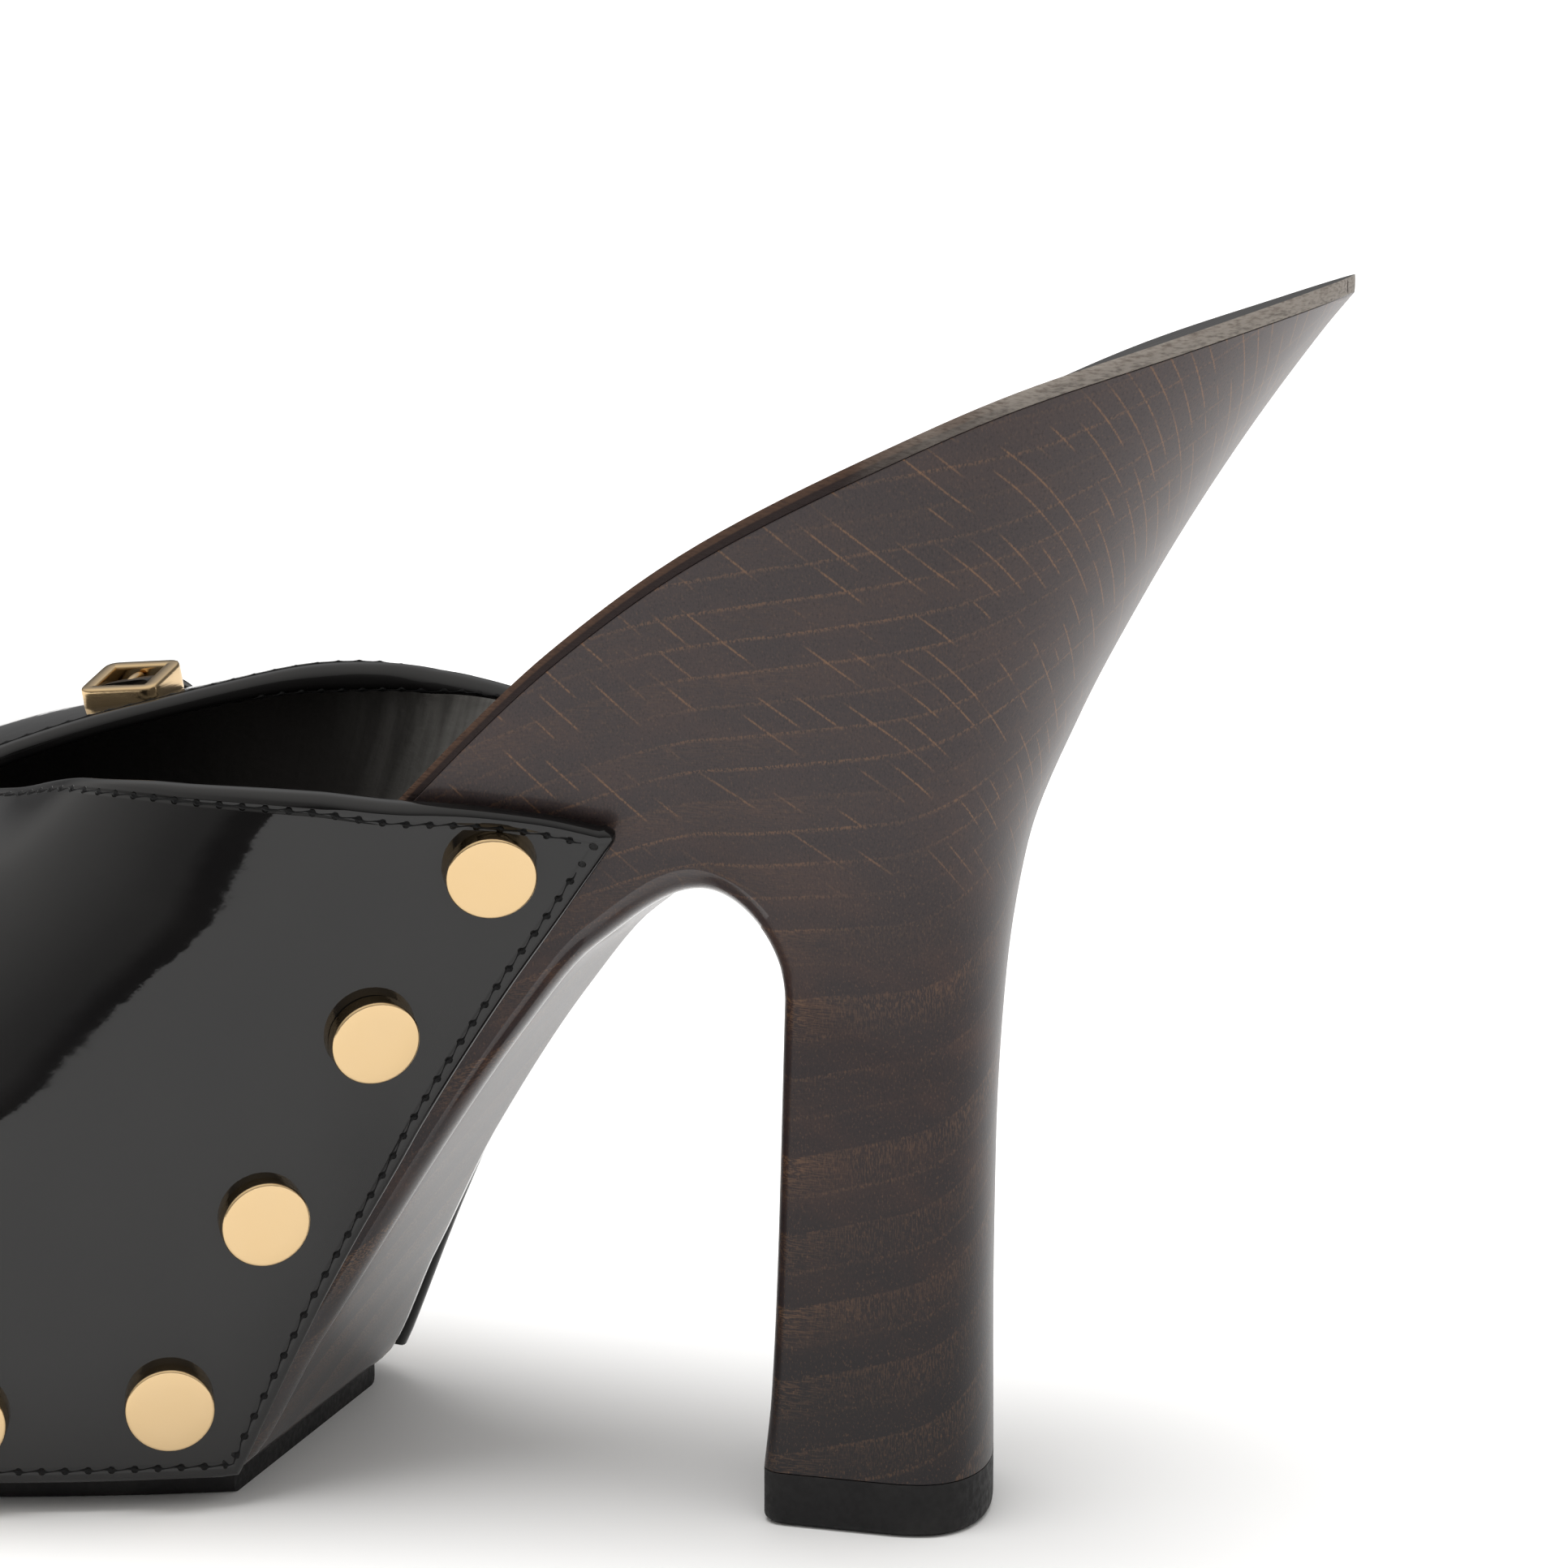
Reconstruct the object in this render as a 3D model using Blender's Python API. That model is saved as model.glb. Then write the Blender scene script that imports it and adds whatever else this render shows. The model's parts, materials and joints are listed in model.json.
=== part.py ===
"""Left clog on a high wooden sole: one-piece wood with a sculpted heel, and an open-backed
leather upper nailed to its sides.

Sizes in the tables are millimetres and become metres in the meshes. +Z is up, the toe points
to -Y, the outer side of the foot is +X and the inner side is -X. The origin lies on the floor
under the middle of the shoe's box.
"""
import math

import bmesh
import bpy
import numpy as np
from mathutils import Matrix, Vector

MM = 0.001
OUTER, INNER = 1, -1

# Main lengths of the wood
TOE_Y = -104.6
SEAT_Y = 108.5
GAP = 0.3

# Toe of the wood: a rounded end that leans to the inner side
TOE_START_Y = -50.0
TOE_POWER = 2.1
TOE_LEAN = -5.0

# Arch between forefoot and heel: a quarter ellipse from its crown down to the heel breast
ARCH_Y, ARCH_Z = 50.4, 50.5
ARCH_REACH, ARCH_RISE = 8.1, 10.1
LIFT_OFF_Y = 5.4

# Heel column, its rounded back and the rubber piece under it
HEEL_PIECE_HEIGHT = 5.0
HEEL_CHAMFER = 0.8
BACK_ROUND_SEAT, BACK_ROUND_COLUMN = 18.0, 9.5
BACK_POWER = 2.3
FOOT_FLARE = 0.1
FOOT_FLARE_HEIGHT = 30.0
EDGE_ROUND = 2.0

# Footbed: how far its middle sinks, and the leather insole on it
DISH_PER_HALF_WIDTH = 0.06
INSOLE_THICKNESS = 1.3
INSOLE_INSET = 0.3

# Forefoot rubber
OUTSOLE_THICKNESS = 2.2
OUTSOLE_INSET = 0.6

# Upper
LEATHER = 2.0
UPPER_GAP = 0.4
UPPER_ABOVE_WOOD_FLOOR = 1.5
WING_FOOT_Y, WING_TIP_Y = 6.4, 43.0
VERTEX_Y = -36.0
BULGE_HEIGHT, BULGE_SHARE = 8.0, 0.3
VAMP_POWER = 2.2

# Studs
STUD_DIAMETER = 8.5
STUD_HEIGHT = 1.1
STUD_SIDES = 20
STUD_PITCH = 19.6
STUD_GAP = 0.35
STUD_ROW_ABOVE_WOOD_FLOOR = 8.0

# Strap down the inner side of the vamp: distances run from the crown, down the inner side
STRAP_Y = -16.5
STRAP_START, STRAP_END = -9.0, 54.0
STRAP_WIDTH = 4.6
STRAP_THICKNESS = 1.0
STRAP_GAP = 0.4

# Buckle at the strap's end: turned to the outer side and a little up towards the heel
BUCKLE_PLACE = -7.0
BUCKLE_TURN, BUCKLE_RISE = math.radians(12.0), math.radians(5.0)
BUCKLE_LIFT = 1.7
BUCKLE_WIDTH = 8.4
BUCKLE_LENGTH = 8.4
BUCKLE_BAR = 1.5
BUCKLE_HEIGHT = 2.0
BUCKLE_ROUND = 0.5
PRONG_DIAMETER = 1.0
PRONG_LIFT = 1.5
PRONG_SIDES = 10

# How finely the faces are cut up
SIDE_POINTS = 9
BED_POINTS = 9
BACK_CROWDING = 2.6
WALL_POINTS, SWELL_POINTS, ARC_POINTS = 24, 8, 40
UPPER_POINTS = 14
STRAP_ROWS = 32
WELD = 0.02
SHARP_ANGLE = math.radians(35.0)


def table(columns, *rows):
    """Turn rows of numbers into named columns."""
    return dict(zip(columns.split(), np.array(rows, float).T))


# A row for each cross section, from the toe to the back of the seat. bottom is the underside of
# the wood, and behind the arch it is the height where the column starts to widen.
SECTIONS = table(
    "y top bottom outer_top outer_low inner_top inner_low flare",
    (-104.6, 26.0, 9.5, 36.0, 33.0, 36.0, 33.0, 1.0),
    (-92.0, 24.0, 6.0, 36.5, 33.5, 36.5, 33.5, 1.0),
    (-78.0, 22.6, 3.6, 37.0, 34.0, 37.0, 34.0, 1.0),
    (-62.0, 22.0, 2.5, 37.5, 34.5, 37.5, 34.5, 1.0),
    (-45.0, 22.2, 2.5, 37.5, 34.0, 37.0, 33.5, 1.0),
    (-30.0, 23.9, 2.5, 36.5, 32.5, 35.5, 31.5, 1.0),
    (-17.0, 29.0, 2.5, 34.5, 29.8, 33.5, 29.0, 1.0),
    (-4.0, 38.6, 2.5, 31.5, 25.5, 31.0, 25.0, 1.0),
    (5.4, 47.6, 2.5, 28.5, 21.5, 28.5, 21.5, 1.0),
    (13.6, 56.2, 15.6, 26.0, 17.4, 26.0, 17.4, 1.0),
    (22.3, 65.6, 30.8, 23.8, 12.8, 23.8, 12.8, 1.0),
    (32.5, 76.3, 46.1, 22.7, 11.5, 22.7, 11.5, 1.0),
    (39.5, 82.7, 54.4, 23.0, 11.6, 23.0, 11.6, 1.0),
    (50.4, 90.9, 60.6, 24.0, 12.2, 24.0, 12.2, 1.0),
    (58.0, 95.5, 54.0, 24.8, 12.6, 24.8, 12.6, 1.1),
    (71.0, 102.1, 46.0, 25.9, 12.8, 25.9, 12.8, 1.2),
    (84.0, 108.0, 42.0, 26.3, 12.8, 26.3, 12.8, 1.25),
    (98.0, 113.0, 40.0, 26.4, 12.8, 26.4, 12.8, 1.25),
    (108.5, 116.7, 40.0, 26.4, 12.8, 26.4, 12.8, 1.25),
)

# Side view of the heel: its back line and its breast at each height
BACK_LINE = table(
    "z y",
    (5.3, 75.9), (20.0, 75.6), (36.0, 75.8), (51.0, 76.4), (64.0, 78.2),
    (76.4, 83.1), (89.0, 89.4), (101.0, 96.8), (113.0, 105.4), (116.7, 108.5),
)
BREAST_LINE = table("z y", (5.3, 56.7), (12.0, 57.3), (25.0, 57.8), (50.5, 58.5))

# Crown of the upper over the foot: where each half would top out at each cross section
CROWN = table(
    "y outer_x outer_z inner_x inner_z",
    (-104.6, -5.0, 31.0, -5.0, 31.0),
    (-100.0, -5.0, 36.0, -5.0, 36.0),
    (-92.0, -5.5, 41.0, -5.5, 41.0),
    (-78.0, -7.0, 46.5, -7.0, 46.5),
    (-62.0, -10.0, 54.0, -10.0, 54.0),
    (-45.0, -15.0, 61.8, -15.0, 61.8),
    (-36.0, -18.0, 65.3, -18.0, 65.3),
    (-16.0, -8.0, 71.0, -20.0, 69.4),
    (0.0, 0.0, 84.0, -21.0, 73.2),
    (10.0, 4.0, 92.0, -21.0, 75.5),
    (26.0, 8.0, 100.0, -16.0, 86.0),
    (43.0, 8.0, 104.0, -8.0, 98.0),
)

# Edge of the throat on each side. In front of the vertex both halves meet on the same line.
THROAT = table(
    "y outer_x outer_z inner_x inner_z",
    (-104.6, -5.0, 60.0, -5.0, 60.0),
    (-62.0, 1.0, 60.0, 1.0, 60.0),
    (-36.0, 6.0, 62.7, 6.0, 62.7),
    (-30.0, 9.2, 63.65, 5.6, 63.8),
    (-26.0, 11.2, 64.3, 3.2, 65.0),
    (-21.6, 13.0, 65.25, -0.4, 66.35),
    (-15.0, 15.9, 67.1, -5.9, 68.3),
    (0.0, 25.5, 69.5, -16.0, 72.5),
    (5.5, 26.5, 70.2, -22.0, 72.5),
    (12.0, 26.8, 70.6, -24.0, 71.8),
    (26.0, 22.0, 70.2, -22.5, 70.0),
    (43.0, 15.5, 69.2, -15.5, 69.2),
)

# Rear edge of each wing, in side view
WING_EDGE = table("y z", (6.4, 4.0), (12.0, 17.0), (18.7, 30.6), (28.9, 47.6), (43.0, 66.8))

# Studs along a wing's rear edge, in side view, from the tip down to the bottom row
WING_STUDS = table("y z", (32.2, 63.9), (20.2, 47.5), (10.3, 29.7), (1.5, 11.3))


def smooth(x, knots, values):
    """Cubic curve through the table's rows that never overshoots them."""
    x = np.asarray(x, float)
    step = np.diff(knots)
    rise = np.diff(values) / step
    slope = np.zeros(len(knots))
    both = rise[:-1] * rise[1:]
    np.divide(2 * both, rise[:-1] + rise[1:], out=slope[1:-1], where=both > 0)
    slope[0], slope[-1] = rise[0], rise[-1]
    row = np.clip(np.searchsorted(knots, x) - 1, 0, len(step) - 1)
    t = np.clip((x - knots[row]) / step[row], 0.0, 1.0)
    s, h = 1 - t, step[row]
    return (s * s * (1 + 2 * t) * values[row] + t * t * (1 + 2 * s) * values[row + 1]
            + t * s * h * (s * slope[row] - t * slope[row + 1]))


def at(tab, name, x, key="y"):
    """Value of a table's column at a place along its key column."""
    return smooth(x, tab[key], tab[name])


def round_end(share, power):
    """Quarter of a superellipse: 1 at share 0, falling to 0 at share 1."""
    share = np.clip(share, 0.0, 1.0)
    return (1.0 - share ** power) ** (1.0 / power)


def toe_share(y):
    """How far a place lies into the rounded toe, from 0 to 1."""
    return np.clip((TOE_START_Y - np.asarray(y, float)) / (TOE_START_Y - TOE_Y), 0.0, 1.0)


def centre_x(y):
    """Middle line of the sole in plan."""
    return TOE_LEAN * toe_share(y) ** 2


def back_round(y, z):
    """Rounding of the heel and the seat towards the back line, from 1 to 0."""
    back = at(BACK_LINE, "y", z, "z")
    height = np.clip((np.asarray(z, float) - ARCH_Z) / (SECTIONS["top"][-1] - ARCH_Z), 0.0, 1.0)
    reach = BACK_ROUND_COLUMN + (BACK_ROUND_SEAT - BACK_ROUND_COLUMN) * height
    return round_end((np.asarray(y, float) - back + reach) / reach, BACK_POWER)


def wood_x(y, z, side):
    """Side face of the wood at a place along the shoe and a height."""
    name = "outer" if side == OUTER else "inner"
    y, z = np.asarray(y, float), np.asarray(z, float)
    top, bottom = at(SECTIONS, "top", y), at(SECTIONS, "bottom", y)
    share = np.clip((z - bottom) / (top - bottom), 0.0, 1.0) ** at(SECTIONS, "flare", y)
    low, high = at(SECTIONS, name + "_low", y), at(SECTIONS, name + "_top", y)
    spread = 1.0 + FOOT_FLARE * np.clip(1.0 - z / FOOT_FLARE_HEIGHT, 0.0, 1.0) ** 2 * (y > ARCH_Y)
    half = (low * spread + (high - low) * share) * round_end(toe_share(y), TOE_POWER) * back_round(y, z)
    return centre_x(y) + side * half


def stations():
    """Places of the cross sections from the toe to the crown of the arch."""
    toe = TOE_START_Y + (TOE_Y - TOE_START_Y) * np.sin(np.linspace(math.pi / 2, 0.0, 12))
    ball = np.linspace(TOE_START_Y, VERTEX_Y, 4)[1:]
    throat = np.linspace(VERTEX_Y, LIFT_OFF_Y, 8)[1:]
    shank = np.linspace(WING_FOOT_Y, WING_TIP_Y, 8)
    arch = np.linspace(WING_TIP_Y, ARCH_Y, 3)[1:]
    return np.concatenate([toe, ball, throat, shank, arch])


def ribs():
    """Side-view lines across the wood: top end, bottom end and crowding towards the top end."""
    y = stations()
    rows = [(a, b, a, c, 1.0) for a, b, c in zip(y, at(SECTIONS, "top", y), at(SECTIONS, "bottom", y))]
    seat_y = ARCH_Y + (SEAT_Y - ARCH_Y) * np.sin(np.linspace(0.0, math.pi / 2, 11))[1:]
    back_z = np.linspace(SECTIONS["top"][-1], ARCH_Z, 11)[1:]
    column_z = np.linspace(ARCH_Z, HEEL_PIECE_HEIGHT + GAP, 8)[1:]
    top = [(a, float(at(SECTIONS, "top", a))) for a in seat_y]
    top += [(float(at(BACK_LINE, "y", a, "z")), a) for a in back_z]
    turn = np.linspace(math.pi / 2, 0.0, len(top) + 1)[1:]
    crowd = np.full(len(top), BACK_CROWDING)
    crowd[:len(seat_y)] = np.linspace(1.0, BACK_CROWDING, len(seat_y))
    for (top_y, top_z), angle, power in zip(top, turn, crowd):
        low_y = ARCH_Y + ARCH_REACH * math.cos(angle)
        low_z = ARCH_Z + ARCH_RISE * math.sin(angle)
        rows.append((top_y, top_z, low_y, low_z, power))
    for z in column_z:
        back, breast = at(BACK_LINE, "y", z, "z"), at(BREAST_LINE, "y", z, "z")
        rows.append((float(back), z, float(breast), z, BACK_CROWDING))
    return np.array(rows)


def footbed_z(y, share):
    """Height of the wood's top at a share of the half width, dished in the middle."""
    width = at(SECTIONS, "outer_top", y) * round_end(toe_share(y), TOE_POWER)
    width = width * back_round(y, at(SECTIONS, "top", y))
    return at(SECTIONS, "top", y) - DISH_PER_HALF_WIDTH * width * (1.0 - share ** 2)


def footbed_x(y, share, inset=0.0):
    """Place across the footbed at a share of the half width, from -1 inside to 1 outside."""
    top = at(SECTIONS, "top", y)
    edge = np.where(share < 0, wood_x(y, top, INNER), wood_x(y, top, OUTER))
    reach = edge - centre_x(y)
    reach = np.sign(reach) * np.maximum(np.abs(reach) - inset, 0.0)
    return centre_x(y) + np.abs(share) * reach


def material(name, colour, roughness, metallic=0.0):
    """A plain finish in the piece's own colour."""
    made = bpy.data.materials.new(name)
    made.use_nodes = True
    shader = made.node_tree.nodes["Principled BSDF"]
    shader.inputs["Base Color"].default_value = (*colour, 1.0)
    shader.inputs["Roughness"].default_value = roughness
    shader.inputs["Metallic"].default_value = metallic
    return made


class Skin:
    """Gathers the faces of one closed piece, in millimetres."""

    def __init__(self):
        self.points = []
        self.faces = []

    def grid(self, points, flip=False):
        """Add a rectangular net of points, as an array of rows, columns and x y z."""
        rows, columns = points.shape[:2]
        first = len(self.points)
        self.points.extend(points.reshape(-1, 3))
        for i in range(rows - 1):
            for j in range(columns - 1):
                a = first + i * columns + j
                face = (a, a + 1, a + columns + 1, a + columns)
                self.faces.append(face[::-1] if flip else face)

    def build(self, name, finish, parent, merge=WELD):
        """Weld the nets into one mesh with its faces pointing out."""
        mesh = bpy.data.meshes.new(name)
        mesh.from_pydata([tuple(p * MM) for p in np.array(self.points)], [], self.faces)
        net = bmesh.new()
        net.from_mesh(mesh)
        bmesh.ops.remove_doubles(net, verts=net.verts, dist=merge * MM)
        bmesh.ops.dissolve_degenerate(net, edges=net.edges, dist=merge * MM)
        bmesh.ops.recalc_face_normals(net, faces=net.faces)
        net.to_mesh(mesh)
        net.free()
        return place(name, mesh, finish, parent)


def place(name, mesh, finish, parent):
    """Put a mesh into the scene as a named piece."""
    mesh.materials.append(finish)
    mesh.shade_smooth()
    mesh.set_sharp_from_angle(angle=SHARP_ANGLE)
    piece = bpy.data.objects.new(name, mesh)
    piece.parent = parent
    bpy.context.scene.collection.objects.link(piece)
    return piece


def net(x, y, z):
    """Stack coordinates of one shape into a net of points."""
    return np.stack(np.broadcast_arrays(x, y, z), axis=-1).astype(float)


def make_sole(finish, parent):
    """The wood: side faces over the ribs, closed by footbed, underside, breast and heel end."""
    rows = ribs()
    top_y, top_z, low_y, low_z, crowd = (rows[:, k:k + 1] for k in range(5))
    length = np.hypot(low_y - top_y, low_z - top_z)
    spread = np.linspace(0.0, 1.0, SIDE_POINTS)[None, :]
    rounding = [length - EDGE_ROUND / 3, length]
    distance = np.concatenate([(length - EDGE_ROUND) * spread ** crowd, *rounding], axis=1)
    y = top_y + (low_y - top_y) * distance / length
    z = top_z + (low_z - top_z) * distance / length
    inside = np.clip(distance - length + EDGE_ROUND, 0.0, EDGE_ROUND)
    tuck = EDGE_ROUND - np.sqrt(EDGE_ROUND ** 2 - inside ** 2)
    skin = Skin()
    faces = {}
    for side in (OUTER, INNER):
        middle = centre_x(y)
        half = np.maximum(np.abs(wood_x(y, z, side) - middle) - tuck, 0.0)
        faces[side] = net(middle + side * half, y, z)
        skin.grid(faces[side], flip=side == INNER)
    share = np.linspace(-1.0, 1.0, BED_POINTS)[None, :]
    last_seat = int(np.argmax(rows[:, 0])) + 1
    bed_y = top_y[:last_seat]
    skin.grid(net(footbed_x(bed_y, share), bed_y, footbed_z(bed_y, share)))
    under = np.stack([faces[INNER][:, -1], faces[OUTER][:, -1]], axis=1)
    skin.grid(under)
    heel_end = np.stack([faces[INNER][-1], faces[OUTER][-1]], axis=1)
    skin.grid(heel_end)
    return skin.build("sole", finish, parent)


def make_heel_piece(finish, parent):
    """Rubber under the heel: the column's own outline with a chamfered lower edge."""
    top = HEEL_PIECE_HEIGHT + GAP
    back, breast = at(BACK_LINE, "y", top, "z"), at(BREAST_LINE, "y", top, "z")
    y = back + (breast - back) * np.linspace(0.0, 1.0, SIDE_POINTS + 1) ** BACK_CROWDING
    levels = ((0.0, HEEL_CHAMFER), (HEEL_CHAMFER, 0.0), (HEEL_PIECE_HEIGHT, 0.0))
    middle_y = (back + breast) / 2
    skin = Skin()
    rings = {}
    for side in (OUTER, INNER):
        ring = []
        for height, inset in levels:
            shrink = 1.0 - inset / (middle_y - breast)
            x = wood_x(y, np.full_like(y, top), side) * shrink
            ring.append(net(x, middle_y + (y - middle_y) * shrink, height))
        rings[side] = np.array(ring)
        skin.grid(rings[side])
    skin.grid(np.stack([rings[INNER][0], rings[OUTER][0]]))
    skin.grid(np.stack([rings[INNER][-1], rings[OUTER][-1]]))
    skin.grid(np.stack([rings[INNER][:, -1], rings[OUTER][:, -1]]))
    return skin.build("heel_top_piece", finish, parent)


def make_slab(name, y, edges, heights, finish, parent):
    """Closed plate over a list of places along the shoe: edges and heights are nets across it."""
    skin = Skin()
    low, high = net(edges, y, heights[0]), net(edges, y, heights[1])
    skin.grid(low)
    skin.grid(high)
    for column in (0, -1):
        skin.grid(np.stack([low[:, column], high[:, column]]))
    for row in (0, -1):
        skin.grid(np.stack([low[row], high[row]]))
    return skin.build(name, finish, parent)


def make_insole(finish, parent):
    """Thin leather over the whole footbed."""
    rows = ribs()
    y = rows[1:int(np.argmax(rows[:, 0])) + 1, 0:1]
    share = np.linspace(-1.0, 1.0, BED_POINTS)[None, :]
    bed = footbed_z(y, share) + GAP
    x = footbed_x(y, share, INSOLE_INSET)
    return make_slab("insole", y, x, (bed, bed + INSOLE_THICKNESS), finish, parent)


def make_outsole(finish, parent):
    """Rubber under the forefoot, from the toe to where the wood leaves the floor."""
    y = stations()
    y = y[(y <= LIFT_OFF_Y)][:, None]
    bottom = at(SECTIONS, "bottom", y)
    share = np.linspace(-1.0, 1.0, 5)[None, :]
    edges = []
    for side in (INNER, OUTER):
        half = np.abs(wood_x(y, bottom, side) - centre_x(y)) - EDGE_ROUND
        edges.append(np.maximum(half - OUTSOLE_INSET, 0.0))
    x = centre_x(y) + np.where(share < 0, share * edges[0], share * edges[1])
    high = bottom - GAP + 0.0 * share
    return make_slab("outsole_forefoot", y, x, (high - OUTSOLE_THICKNESS, high), finish, parent)


def wing_floor(y):
    """Lower edge of the upper: above the wood's underside, then up the wing's rear edge."""
    low = at(SECTIONS, "bottom", min(y, LIFT_OFF_Y)) + UPPER_ABOVE_WOOD_FLOOR
    return float(at(WING_EDGE, "z", y)) if y > WING_FOOT_Y else float(low)


def half_name(y, side):
    """Columns that shape a half: its own behind the throat's vertex, shared ones in front of it."""
    return "outer" if side == OUTER and y > VERTEX_Y else "inner"


def upper_half(y, side):
    """One half of the upper's inner face at a cross section, from its lower edge over the crown.

    It follows the wood's side, swells a little above the footbed and then turns over the foot on
    a superellipse up to the crown. The inner half goes on past the crown, down its outer side.
    """
    name = half_name(y, side)
    toe = float(round_end(toe_share(y), TOE_POWER))
    top = float(at(SECTIONS, "top", y))
    crown_x, crown_z = float(at(CROWN, name + "_x", y)), float(at(CROWN, name + "_z", y))
    swell = min(BULGE_HEIGHT, BULGE_SHARE * (crown_z - top))

    def shoulder(which):
        edge = float(wood_x(y, top, which)) + which * UPPER_GAP * toe
        lean = (edge - which * UPPER_GAP * toe - float(wood_x(y, top - 1.0, which)))
        return edge, lean, edge + lean * swell / 2

    def arc(which, angles):
        wide = shoulder(which)[2]
        x = crown_x + (wide - crown_x) * np.cos(angles) ** (2 / VAMP_POWER)
        z = top + swell + (crown_z - top - swell) * np.sin(angles) ** (2 / VAMP_POWER)
        return np.stack([x, z], axis=1)

    edge, lean, _ = shoulder(side)
    wall_z = np.linspace(min(wing_floor(y), top - 1.0), top, WALL_POINTS)
    wall_x = wood_x(np.full(WALL_POINTS, y), wall_z, side) + side * UPPER_GAP * toe
    wall = np.stack([wall_x, wall_z], axis=1)
    rise = np.linspace(0.0, swell, SWELL_POINTS)[1:]
    bulge = np.stack([edge + lean * (rise - rise ** 2 / (2 * swell)), top + rise], axis=1)
    angles = np.linspace(0.0, math.pi / 2, ARC_POINTS)[1:]
    line = [wall, bulge, arc(side, angles)]
    if side == INNER:
        line.append(arc(OUTER, angles[-2::-1]))
    return np.concatenate(line), (crown_x, top)


def upper_section(y, side):
    """Evenly spaced points of one half, cut off at the throat's edge."""
    name = half_name(y, side)
    line, (hub_x, hub_z) = upper_half(y, side)

    def bearing(x, z):
        return np.arctan2(z - hub_z, side * (x - hub_x))

    turn = np.maximum.accumulate(bearing(line[:, 0], line[:, 1]))
    cut = bearing(float(at(THROAT, name + "_x", y)), float(at(THROAT, name + "_z", y)))
    run = np.concatenate([[0.0], np.cumsum(np.hypot(*np.diff(line, axis=0).T))])
    end = run[np.argmax(line[:, 1])] if y <= TOE_Y else np.interp(cut, turn, run)
    spot = np.linspace(0.0, end, UPPER_POINTS)
    return np.interp(spot, run, line[:, 0]), np.interp(spot, run, line[:, 1])


def upper_y(y):
    """Cross sections at the toe stand a little in front of the wood's."""
    return y - UPPER_GAP * toe_share(y) ** 2


def make_upper(finish, parent):
    """The leather: both halves of its inner face, joined in front of the throat and thickened."""
    y = stations()
    y = y[y <= WING_TIP_Y + 1e-6]
    skin = Skin()
    for side in (OUTER, INNER):
        rows = []
        for place_y in y:
            x, z = upper_section(place_y, side)
            rows.append(net(x, float(upper_y(place_y)), z))
        skin.grid(np.array(rows), flip=side == OUTER)
    mesh = bpy.data.meshes.new("upper")
    mesh.from_pydata([tuple(p * MM) for p in skin.points], [], skin.faces)
    sheet = bmesh.new()
    sheet.from_mesh(mesh)
    bmesh.ops.remove_doubles(sheet, verts=sheet.verts, dist=WELD * MM)
    bmesh.ops.dissolve_degenerate(sheet, edges=sheet.edges, dist=WELD * MM)
    sheet.to_mesh(mesh)
    sheet.free()
    piece = place("upper", mesh, finish, parent)
    wall = piece.modifiers.new("wall", "SOLIDIFY")
    wall.thickness = LEATHER * MM
    wall.offset = 1.0
    return piece


def side_frame(y, z, side):
    """Point on the upper's outer face beside the wood, and the way it faces."""
    d = 0.5
    slope_y = float(wood_x(y + d, z, side) - wood_x(y - d, z, side)) / (2 * d)
    slope_z = float(wood_x(y, z + d, side) - wood_x(y, z - d, side)) / (2 * d)
    facing = side * np.array([1.0, -slope_y, -slope_z])
    facing /= np.linalg.norm(facing)
    foot = np.array([float(wood_x(y, z, side)) + side * UPPER_GAP, y, z])
    return foot + facing * LEATHER, facing


def wing_seat(y, z, side):
    """Seat of a wing stud: lifted so that its flat base clears the hollow side."""
    foot, facing = side_frame(y, z, side)
    reach = STUD_DIAMETER / 2
    rim = [side_frame(y + reach * math.cos(a), z + reach * math.sin(a), side)[0]
           for a in np.linspace(0.0, 2 * math.pi, 12)]
    lift = max(0.0, max(float((spot - foot).dot(facing)) for spot in rim))
    return foot + facing * lift, facing


def toe_row():
    """Stud places along the lower edge round the toe, between the two lowest wing studs."""
    start = WING_STUDS["y"][-1]
    half = start + (TOE_Y - start) * np.sin(np.linspace(0.0, math.pi / 2, 400))
    lines = []
    for lift in (STUD_ROW_ABOVE_WOOD_FLOOR, STUD_ROW_ABOVE_WOOD_FLOOR + 2.0):
        z = at(SECTIONS, "bottom", half) + lift
        outer = np.stack([wood_x(half, z, OUTER), half, z], axis=1)
        inner = np.stack([wood_x(half, z, INNER), half, z], axis=1)
        lines.append(np.concatenate([outer, inner[::-1][1:]]))
    facing = np.cross(lines[1] - lines[0], np.gradient(lines[0], axis=0))
    facing /= np.linalg.norm(facing, axis=1)[:, None]
    run = np.concatenate([[0.0], np.cumsum(np.linalg.norm(np.diff(lines[0], axis=0), axis=1))])
    count = round(run[-1] / STUD_PITCH)
    for spot in np.linspace(0.0, run[-1], count + 1)[1:-1]:
        foot = np.array([np.interp(spot, run, lines[0][:, k]) for k in range(3)])
        out = np.array([np.interp(spot, run, facing[:, k]) for k in range(3)])
        yield foot + out * (UPPER_GAP + LEATHER), out


def make_studs(finish, parent):
    """Flat-topped studs that nail the upper to the wood."""
    places = []
    for y, z in zip(WING_STUDS["y"], WING_STUDS["z"]):
        places.append(wing_seat(y, z, OUTER))
    places.extend(toe_row())
    for y, z in zip(WING_STUDS["y"][::-1], WING_STUDS["z"][::-1]):
        places.append(wing_seat(y, z, INNER))
    for number, (foot, facing) in enumerate(places, start=1):
        mesh = bpy.data.meshes.new("stud_%02d" % number)
        round_bar(mesh, STUD_DIAMETER, STUD_HEIGHT, STUD_SIDES)
        stud = place(mesh.name, mesh, finish, parent)
        stud.rotation_euler = Vector(facing).to_track_quat("Z", "Y").to_euler()
        stud.location = Vector((foot + facing * (STUD_GAP + STUD_HEIGHT / 2)) * MM)


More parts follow.
